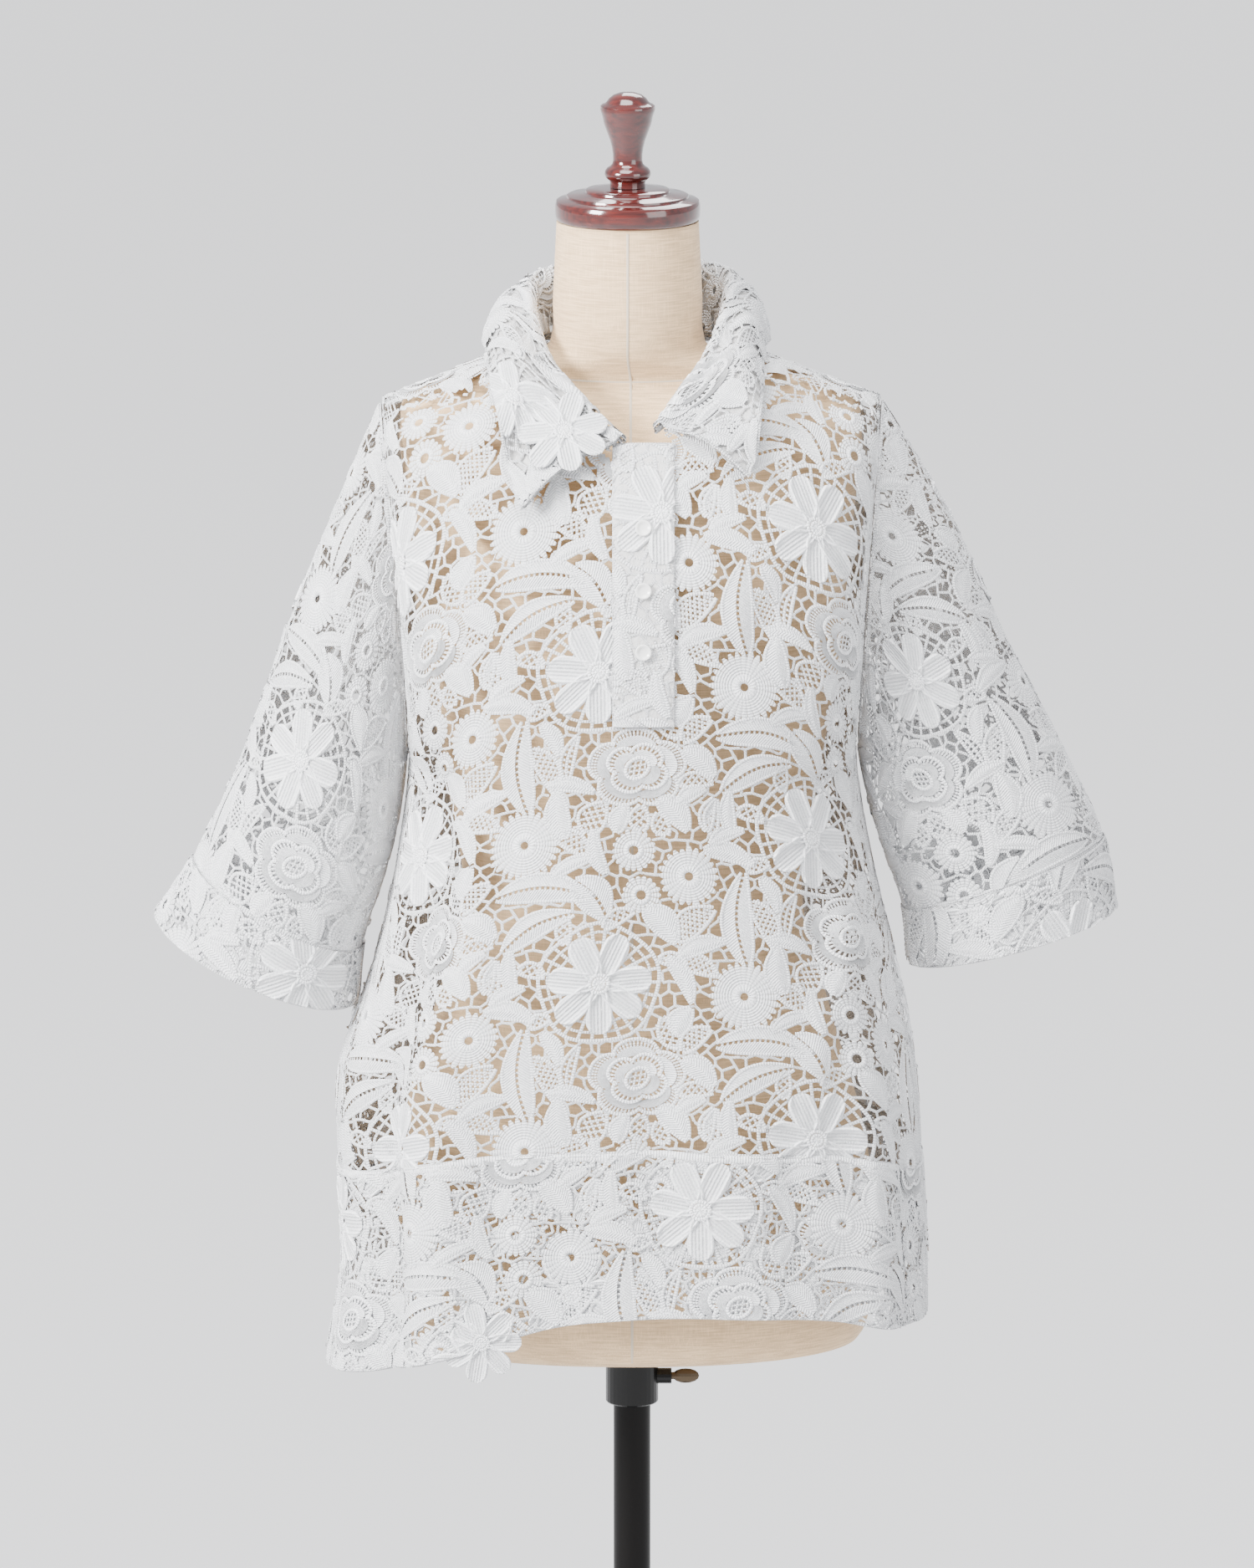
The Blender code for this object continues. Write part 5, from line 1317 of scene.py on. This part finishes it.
def round_length(side, across, z):
    """Length round the body at one height, from its middle to a place across."""
    heights = np.linspace(ROUND_FROM_Z, ROUND_TO_Z, ROUND_LEVELS + 1)[:, None]
    places = np.linspace(-1, 1, ROUND_PLACES + 1)[None, :]
    power = read(BODY_COLUMNS, BODY, "roundness", heights)
    depth = read(BODY_COLUMNS, BODY, "front" if side == FRONT else "back", heights)
    edge = armhole_depth(heights)
    out = edge + (depth - edge) * np.clip(1 - np.abs(places) ** power, 0, 1) ** (1 / power)
    steps = np.hypot(np.diff(places * half_width(heights, places), axis=1), np.diff(out, axis=1))
    length = np.concatenate([np.zeros((ROUND_LEVELS + 1, 1)), np.cumsum(steps, axis=1)], axis=1)
    length -= length[:, [ROUND_PLACES // 2]]
    row = np.clip((z - ROUND_FROM_Z) / ROUND_SPAN * ROUND_LEVELS, 0, ROUND_LEVELS - 0.001)
    column = np.clip((across + 1) * ROUND_PLACES / 2, 0, ROUND_PLACES - 0.001)
    return bilinear(length, row, column)


def body_cloth(side, top, bottom, rows, columns=72, seam_row=None):
    """One side of the shirt's body between two places down it, with finer rows at the shoulders."""
    downs = top + (bottom - top) * np.linspace(0, 1, rows + 1)
    if top == 0:
        downs = np.unique(np.concatenate([[0, 0.004, 0.010, 0.018, 0.028], downs]))
    across = np.broadcast_to(even_columns(side, columns)[None, :], (len(downs), columns + 1))
    points = body_point(side, across, downs[:, None])
    cloth = Cloth(points, len(downs) - 1 if seam_row is None else seam_row, -side)
    cloth.flat_across = round_length(side, across, points[..., 2])
    return cloth


def cut_cord(cord, points_kept):
    """A cord without the faces that touch points left out."""
    points, faces, threads, relief = cord
    kept = points_kept[faces].all(axis=1)
    return points, faces[kept], threads[kept], relief


def border(cloth, sides="trbl"):
    """Cords round the edges of a piece: top, right, bottom and left in the grid's own rows and columns."""
    rows, columns = np.arange(cloth.rows + 1.0), np.arange(cloth.columns + 1.0)
    lines = {
        "t": (np.full(len(columns), EDGE_INSET_ROWS), columns),
        "b": (np.full(len(columns), cloth.rows - EDGE_INSET_ROWS), columns),
        "l": (rows, np.full(len(rows), EDGE_INSET_COLUMNS)),
        "r": (rows, np.full(len(rows), cloth.columns - EDGE_INSET_COLUMNS)),
    }
    chosen = [lines[side] for side in lines if side in sides]
    return [edge_cord(cloth, *line, EDGE_HALF_WIDTH, EDGE_BASE, EDGE_RISE) for line in chosen]


front_cloth = body_cloth(FRONT, 0, 1, 110)
back_cloth = body_cloth(BACK, 0, 1, 110)


def clear_of_slot(row, column):
    """Whether places on the front are outside the slit for the placket."""
    x, _, z = np.moveaxis(bilinear(front_cloth.points, row, column), -1, 0)
    return ~((np.abs(x - PLACKET_X) < SLOT_HALF_WIDTH) & (z > SLOT_BOTTOM_Z))


def lace_piece(name, node, cloth, parts):
    """The joined lace of one piece, which hides its CAD part when one is named."""
    made = joined(name, parts, lace_thread)
    if node:
        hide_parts(node)
    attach(made, "form")
    wide, long = cloth.flat_size()
    area = min(cloth.area(), 0.999 * wide * long)
    return made


neckline_cord, *front_cords = border(front_cloth)
neckline_cord = cut_cord(neckline_cord, np.abs(neckline_cord[0][:, 0] - PLACKET_X) > SLOT_HALF_WIDTH)
front_parts = cover(front_cloth, REPEAT_ORIGINS["front"], inside=clear_of_slot)
lace_piece("front_lace", "front", front_cloth, front_parts + [neckline_cord, *front_cords])
back_parts = cover(back_cloth, REPEAT_ORIGINS["back"]) + border(back_cloth)
lace_piece("back_lace", "back", back_cloth, back_parts)

# The hem band: a length of the same lace folded double, so a second layer shows through the first, its lower
# fold following the slanted hem. The seam that joins it to the body is thick and wanders over the figures.
BAND_RIDGE_HALF_WIDTH = 0.0027
BAND_RIDGE_RISE = 0.0015
BAND_RIDGE_BASE = 0.0014
SECOND_LAYER_SHIFT = (0.061, 0.047)
SECOND_LAYER_LIFT = -0.0004
band_cloths = {}


def layer_behind(cloth, origin):
    """The second layer of doubled lace, with its repeat moved so that it fills the first one's holes."""
    shifted = (origin[0] + SECOND_LAYER_SHIFT[0], origin[1] + SECOND_LAYER_SHIFT[1])
    return cover(cloth, shifted, lift=SECOND_LAYER_LIFT)


for name, side in (("hem_front", FRONT), ("hem_back", BACK)):
    cloth = body_cloth(side, 1 + BAND_GAP_SHARE, 2, 30, seam_row=0)
    band_cloths[side] = cloth
    origin = REPEAT_ORIGINS[name]
    outer = cover(cloth, origin, lift=DOUBLE_LACE - LACE) + border(cloth)
    columns = np.linspace(0, cloth.columns, 3 * cloth.columns + 1)
    wander = 0.35 + 0.30 * np.sin(columns * 0.61) * np.sin(columns * 0.23 + side)
    wander = wander + rng.uniform(-0.08, 0.08, len(columns))
    outer.append(edge_cord(cloth, wander, columns, BAND_RIDGE_HALF_WIDTH, BAND_RIDGE_BASE, BAND_RIDGE_RISE))
    lace_piece(name + "_lace", name, cloth, outer)
    lace_piece(name + "_lining", None, cloth, layer_behind(cloth, origin))

# The sleeves: each a front and a back half of single lace joined along the top and the underarm, and below
# them a straight cuff of doubled lace.
SLEEVE_COLUMNS = ("along", "outer_x", "outer_z", "inner_x", "inner_z", "half_depth", "droop")
CUFF_START, CUFF_END = 1.0, 1.2
SLEEVE_HEAD_EASE = {-1: 0.010, 1: 0.0055}
RIGHT_SLEEVE = (
    (0.00, 0.1680, 1.3720, 0.1540, 1.130, 0.045, 0.000),
    (0.25, 0.2010, 1.2950, 0.1575, 1.098, 0.052, 0.000),
    (0.50, 0.2340, 1.2120, 0.1640, 1.064, 0.057, 0.002),
    (0.75, 0.2640, 1.1270, 0.1740, 1.030, 0.060, 0.005),
    (1.00, 0.2980, 1.0550, 0.1850, 0.996, 0.060, 0.009),
    (1.20, 0.3250, 1.0150, 0.1890, 0.957, 0.061, 0.011),
)
LEFT_SLEEVE = (
    (0.00, 0.1670, 1.3720, 0.1550, 1.130, 0.045, 0.000),
    (0.25, 0.2140, 1.2930, 0.1600, 1.104, 0.050, 0.000),
    (0.50, 0.2550, 1.2020, 0.1670, 1.077, 0.053, 0.000),
    (0.75, 0.2910, 1.1330, 0.1760, 1.050, 0.054, 0.000),
    (1.00, 0.3200, 1.0690, 0.1860, 1.021, 0.053, 0.001),
    (1.20, 0.3290, 1.0200, 0.1900, 0.982, 0.053, 0.002),
)


def sleeve_point(side, face, around, along):
    """A sleeve's inner face: around is 0 at its top seam and 1 at its lower, and side -1 is the right."""
    rows = RIGHT_SLEEVE if side < 0 else LEFT_SLEEVE
    around, along = np.broadcast_arrays(np.asarray(around, float), np.asarray(along, float))
    outer_x, outer_z, inner_x, inner_z, half_depth, droop = (
        read(SLEEVE_COLUMNS, rows, name, along) for name in SLEEVE_COLUMNS[1:]
    )
    turn = around * math.pi
    x = (outer_x + inner_x) / 2 + (outer_x - inner_x) / 2 * np.cos(turn)
    z = (outer_z + inner_z) / 2 + (outer_z - inner_z) / 2 * np.cos(turn) - droop * np.sin(turn)
    y = face * (half_depth * np.sin(turn) + SEAM_GAP / 2)
    return np.stack([side * x, y, z], axis=-1)


for side, hand in ((-1, "right"), (1, "left")):
    around = np.linspace(0, 1, 41)
    for face, half in ((FRONT, "front"), (BACK, "back")):
        along = np.linspace(0.004, CUFF_START - 0.004, 55)
        head = SLEEVE_HEAD_EASE[side] * np.clip(np.cos(around * math.pi), 0, 1)
        starts = along[:, None] + head[None, :] * (1 - along[:, None]) ** 4
        name = f"sleeve_{hand}_{half}"
        cloth = Cloth(sleeve_point(side, face, around[None, :], starts), len(along) - 1, side * face)
        lace_piece(name + "_lace", name, cloth, cover(cloth, REPEAT_ORIGINS[name]) + border(cloth))
    along = np.linspace(CUFF_START, CUFF_END, 16)
    halves, linings = [], []
    size, total_area = [0, 0], 0
    for face, half in ((FRONT, "front"), (BACK, "back")):
        origin = REPEAT_ORIGINS[f"cuff_{hand}_{half}"]
        cloth = Cloth(sleeve_point(side, face, around[None, :], along[:, None]), 0, side * face)
        halves += cover(cloth, origin, lift=DOUBLE_LACE - LACE) + border(cloth, "tb")
        linings += layer_behind(cloth, origin)
        wide, long = cloth.flat_size()
        size = [size[0] + wide, max(size[1], long)]
        total_area += cloth.area()
    for suffix, parts in (("lace", halves), ("lining", linings)):
        made = joined(f"cuff_{hand}_{suffix}", parts, lace_thread)
        if suffix == "lace":
            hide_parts(f"cuff_{hand}")
        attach(made, "form")

# The placket: a doubled strip of lace lined with plain white cotton, sewn over the front's slit, with an
# underlap behind it. Three small shell buttons close it.
PLACKET_TOP_EASE = 0.006
PLACKET_GAP = 0.0012
STRIP_OUT = 0.0012
STRIP_LACE_LIFT = 0.0008
STRIP_ORIGIN = (0.012, -0.048)
COTTON_LUMPS = 0.0004
# The cotton is white, but its colour here is grey: painted shade for the holes of the lace laid over it, on
# the placket strip, its underlap and the collar's interlining.
COTTON_WITH_PAINTED_SHADE = (0.62, 0.61, 0.60)
cotton = plain_material("cotton_with_painted_shade", COTTON_WITH_PAINTED_SHADE, 0.85)
tree = cotton.node_tree
place = add_node(tree, "TexCoord", -900, 0)
noise = add_node(tree, "TexNoise", -600, 0, {"Scale": 420, "Detail": 3.0})
bump = add_node(tree, "Bump", -300, -200, {"Strength": 0.8, "Distance": 0.0010})
wire(
    tree,
    (place.outputs["Object"], noise.inputs["Vector"]),
    (noise.outputs["Fac"], bump.inputs["Height"]),
    (bump.outputs["Normal"], tree.nodes["Principled BSDF"].inputs["Normal"]),
)


def placket_cloth(half, top_z, bottom_z, out):
    """A strip of cloth over the front's middle, moved out from its inner face."""
    levels = np.linspace(top_z, bottom_z, 60)
    places = np.linspace(PLACKET_X - half, PLACKET_X + half, 15)
    x, z = np.meshgrid(places, levels)
    row = np.full(x.shape, front_cloth.rows * 0.3)
    column = np.full(x.shape, front_cloth.columns * 0.5)
    for _ in range(14):
        here = bilinear(front_cloth.points, row, column)
        ahead = bilinear(front_cloth.points, row, column + 0.5)
        behind = bilinear(front_cloth.points, row, column - 0.5)
        column = column + (x - here[..., 0]) / (ahead - behind)[..., 0]
        ahead = bilinear(front_cloth.points, row + 0.5, column)
        behind = bilinear(front_cloth.points, row - 0.5, column)
        row = row + (z - here[..., 2]) / (ahead - behind)[..., 2]
    edge = np.abs(places - PLACKET_X) / half
    lift = out - 0.0008 * np.clip((edge - 0.86) / 0.14, 0, 1) ** 2
    return Cloth(front_cloth.place(row, column, np.broadcast_to(lift, x.shape)), 0, -FRONT)


def plain_sheet(cloth, out, unevenness=0.0):
    """The cloth's whole grid as faces, moved out and a little uneven."""
    row, column = np.mgrid[0 : cloth.rows + 1, 0 : cloth.columns + 1].astype(float)
    lumps = unevenness * rng.uniform(-1, 1, row.shape)
    points = cloth.place(row, column, out + lumps).reshape(-1, 3)
    index = np.arange(row.size).reshape(row.shape)
    corners = (index[:-1, :-1], index[1:, :-1], index[1:, 1:], index[:-1, 1:])
    faces = np.stack([part.ravel() for part in corners], axis=1)
    first = points[faces[len(faces) // 2]]
    outward = cloth.normals[cloth.rows // 2, cloth.columns // 2]
    if np.cross(first[1] - first[0], first[2] - first[0]) @ outward < 0:
        faces = faces[:, ::-1]
    flat = np.stack([cloth.flat_across, cloth.flat_up], axis=-1).reshape(-1, 2)
    return points, faces, flat[faces], np.full(len(points), 0.001)


top_z = PLACKET_TOP_Z + PLACKET_TOP_EASE
over_cloth = placket_cloth(PLACKET_HALF_WIDTH, top_z, PLACKET_BOTTOM_Z, LACE + PLACKET_GAP)
strip = joined("placket_strip", [plain_sheet(over_cloth, STRIP_OUT, COTTON_LUMPS)], cotton)
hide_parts("placket_over")
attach(strip, "form")
wide, long = over_cloth.flat_size()
relief = joined("placket_lace", cover(over_cloth, STRIP_ORIGIN, lift=STRIP_LACE_LIFT), lace_thread)
piping = joined("placket_edge_cords", border(over_cloth), lace_thread)
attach(relief, "form")
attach(piping, "form")
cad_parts["placket_under"].material_slots[0].material = cotton

BUTTON_Z = (1.302, 1.262, 1.222)
BUTTON_PROFILE = (
    (0.0, 0.0010),
    (0.0026, 0.0010),
    (0.0034, 0.0014),
    (0.0042, 0.0021),
    (0.0050, 0.0022),
    (0.0055, 0.0016),
    (0.0054, 0.0006),
    (0.0048, 0.0),
    (0.0, 0.0),
)
BUTTON_OUT = 0.0031
MIDDLE_COLUMN = 7
shell = plain_material("white_shell", (0.82, 0.815, 0.80), 0.22, more={"Coat Weight": 0.5})
for number, z in enumerate(BUTTON_Z, start=1):
    low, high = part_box(f"button_{number}")
    middle_row = np.interp(-z, -over_cloth.points[:, MIDDLE_COLUMN, 2], np.arange(over_cloth.rows + 1))
    normal = bilinear(over_cloth.normals, middle_row, MIDDLE_COLUMN)
    normal = normal / np.linalg.norm(normal)
    place = over_cloth.place(middle_row, MIDDLE_COLUMN, BUTTON_OUT)
    button = turned(f"button_{number}_shell", BUTTON_PROFILE, 32, shell)
    side_way = np.cross((0, 0, 1), normal)
    side_way /= np.linalg.norm(side_way)
    rise = np.cross(normal, side_way)
    for vertex in button.data.vertices:
        x, y, out = vertex.co
        vertex.co = place + side_way * x + rise * y + normal * out
    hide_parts(f"button_{number}")
    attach(button, "form")

# The collar: one strip of doubled lace sewn to the neckline, standing against the neck and turned down over
# the shoulders in two leaves. A daisy is sewn over the edge of the wearer's right leaf.
COLLAR_COLUMNS = ("along", "fold_x", "fold_y", "fold_z", "edge_x", "edge_y", "edge_z")
COLLAR = (
    (0.000, -0.008, -0.0900, 1.3610, -0.0740, -0.1170, 1.3165),
    (0.070, -0.028, -0.0770, 1.3780, -0.0830, -0.0960, 1.3400),
    (0.170, -0.057, -0.0450, 1.4080, -0.0890, -0.0850, 1.3740),
    (0.280, -0.070, 0.0050, 1.4400, -0.0980, -0.0100, 1.4040),
    (0.390, -0.062, 0.0500, 1.4500, -0.0900, 0.0650, 1.4020),
    (0.500, 0.000, 0.0800, 1.4540, 0.0000, 0.1130, 1.3900),
    (0.610, 0.060, 0.0500, 1.4540, 0.0850, 0.0650, 1.4020),
    (0.720, 0.066, 0.0050, 1.4450, 0.0880, -0.0100, 1.4050),
    (0.830, 0.053, -0.0430, 1.4130, 0.0860, -0.0820, 1.3780),
    (0.930, 0.031, -0.0740, 1.3840, 0.0830, -0.0900, 1.3500),
    (1.000, 0.019, -0.0850, 1.3700, 0.0780, -0.1050, 1.3360),
)
COLLAR_STATIONS = 81
COLLAR_ROWS = 60
COLLAR_ROW_SHARES = (0, 0.6, 1.2, 1.45, 1.7, 2.8, 3.9, 5.0)
COLLAR_FOLD_RADIUS = 0.0035
COLLAR_BELLIES = ((0.33, 0.0060), (0.68, 0.0048))
COLLAR_SIDE_LIFT = 0.0014
LAP_GAP = 0.0008
COLLAR_ORIGIN = (0.045, 0.020)
COLLAR_LACE_LIFT = 0.0008
COLLAR_LINING_ORIGIN = (0.098, 0.070)
COLLAR_LINING_LIFT = -0.0036
INTERLINING_OUT = -0.0006


def collar_cloth():
    """The collar's strip: rows run from the neckline over the fold to the free edge."""
    stations = np.linspace(0, 1, COLLAR_STATIONS)
    fold = np.stack([read(COLLAR_COLUMNS, COLLAR, "fold_" + axis, stations) for axis in "xyz"], axis=1)
    edge = np.stack([read(COLLAR_COLUMNS, COLLAR, "edge_" + axis, stations) for axis in "xyz"], axis=1)
    up = np.array([0.0, 0.0, 1.0])
    lines = []
    for f, e in zip(fold, edge):
        away = e - f
        away[2] = 0
        away /= np.linalg.norm(away)
        inner = f - away * COLLAR_FOLD_RADIUS - up * COLLAR_FOLD_RADIUS
        outer = f + away * COLLAR_FOLD_RADIUS - up * COLLAR_FOLD_RADIUS
        neckline = (front_cloth if inner[1] < 0 else back_cloth).points[0]
        seam = np.array([inner[0]] + [np.interp(inner[0], neckline[:, 0], neckline[:, k]) for k in (1, 2)])
        seam += up * (LACE + LAP_GAP + COLLAR_SIDE_LIFT * (abs(inner[0]) / NECK_POINT_X) ** 8)
        fall = e - outer
        belly = np.cross(fall, np.cross(away, up))
        belly /= np.linalg.norm(belly)
        if belly @ (away + up) < 0:
            belly = -belly
        line = [seam, (seam + inner) / 2, inner, f, outer]
        line += [outer + fall * share + belly * depth for share, depth in COLLAR_BELLIES] + [e]
        lines.append(line)
    lines = np.array(lines)
    fine = np.linspace(0, COLLAR_ROW_SHARES[-1], COLLAR_ROWS + 1)
    points = [smooth(COLLAR_ROW_SHARES, line[:, k], fine) for line in lines for k in range(3)]
    points = np.stack(points).reshape(len(lines), 3, COLLAR_ROWS + 1).transpose(2, 0, 1)
    return Cloth(points, COLLAR_ROWS, 1)


strip_cloth = collar_cloth()
middle = strip_cloth.normals[50, 40]
if middle[1] < 0:
    strip_cloth.normals = -strip_cloth.normals
outer = cover(strip_cloth, COLLAR_ORIGIN, lift=COLLAR_LACE_LIFT) + border(strip_cloth)
collar_lace = joined("collar_lace", outer, lace_thread)
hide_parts("collar")
# The interlining's grey cotton shows through the lace's holes as painted shade.
interlining = plain_sheet(strip_cloth, INTERLINING_OUT, COTTON_LUMPS)
collar_interlining = joined("collar_interlining", [interlining], cotton)
inner = cover(strip_cloth, COLLAR_LINING_ORIGIN, lift=COLLAR_LINING_LIFT)
collar_lining = joined("collar_lining", inner, lace_thread)
wide, long = strip_cloth.flat_size()
for piece in (collar_lace, collar_interlining, collar_lining):
    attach(piece, "form")
    min(strip_cloth.area(), wide * long)

# Two daisies are sewn on by their middles alone, so their petals stand free: one over the edge of the collar
# on the wearer's right, and one that hangs over the hem on the same side.
DAISY_DROOP = 2.2


def loose_daisy(name, cloth, rows_from, place, turn, scale, out):
    """A daisy on the cloth's tangent plane at the grid point nearest to a place."""
    away = np.linalg.norm(cloth.points - np.array(place), axis=2)
    away[:rows_from] = 9.0
    row, column = np.unravel_index(away.argmin(), away.shape)
    normal = cloth.normals[row, column]
    side_way = np.cross((0, 0, 1), normal)
    side_way /= np.linalg.norm(side_way)
    rise = np.cross(normal, side_way)
    flat = turned_path(lone_daisy.points[:, :2], (0, 0), turn) * scale
    height = lone_daisy.points[:, 2] + out - DAISY_DROOP * (flat**2).sum(axis=1)
    points = cloth.points[row, column] + side_way * flat[:, [0]] + rise * flat[:, [1]]
    points = points + normal * height[:, None]
    parts = [(points, lone_daisy.faces, lone_daisy.threads, lone_daisy.points[:, 2])]
    made = joined(name, parts, lace_thread)
    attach(made, "form")


loose_daisy("collar_daisy", strip_cloth, 20, (-0.0470, -0.0900, 1.3640), 12, 0.88, 0.0034)
hem_place = (-0.1030, -0.1100, 0.7480)
loose_daisy("hem_daisy", band_cloths[FRONT], 0, hem_place, 40, 0.78, 0.0026)
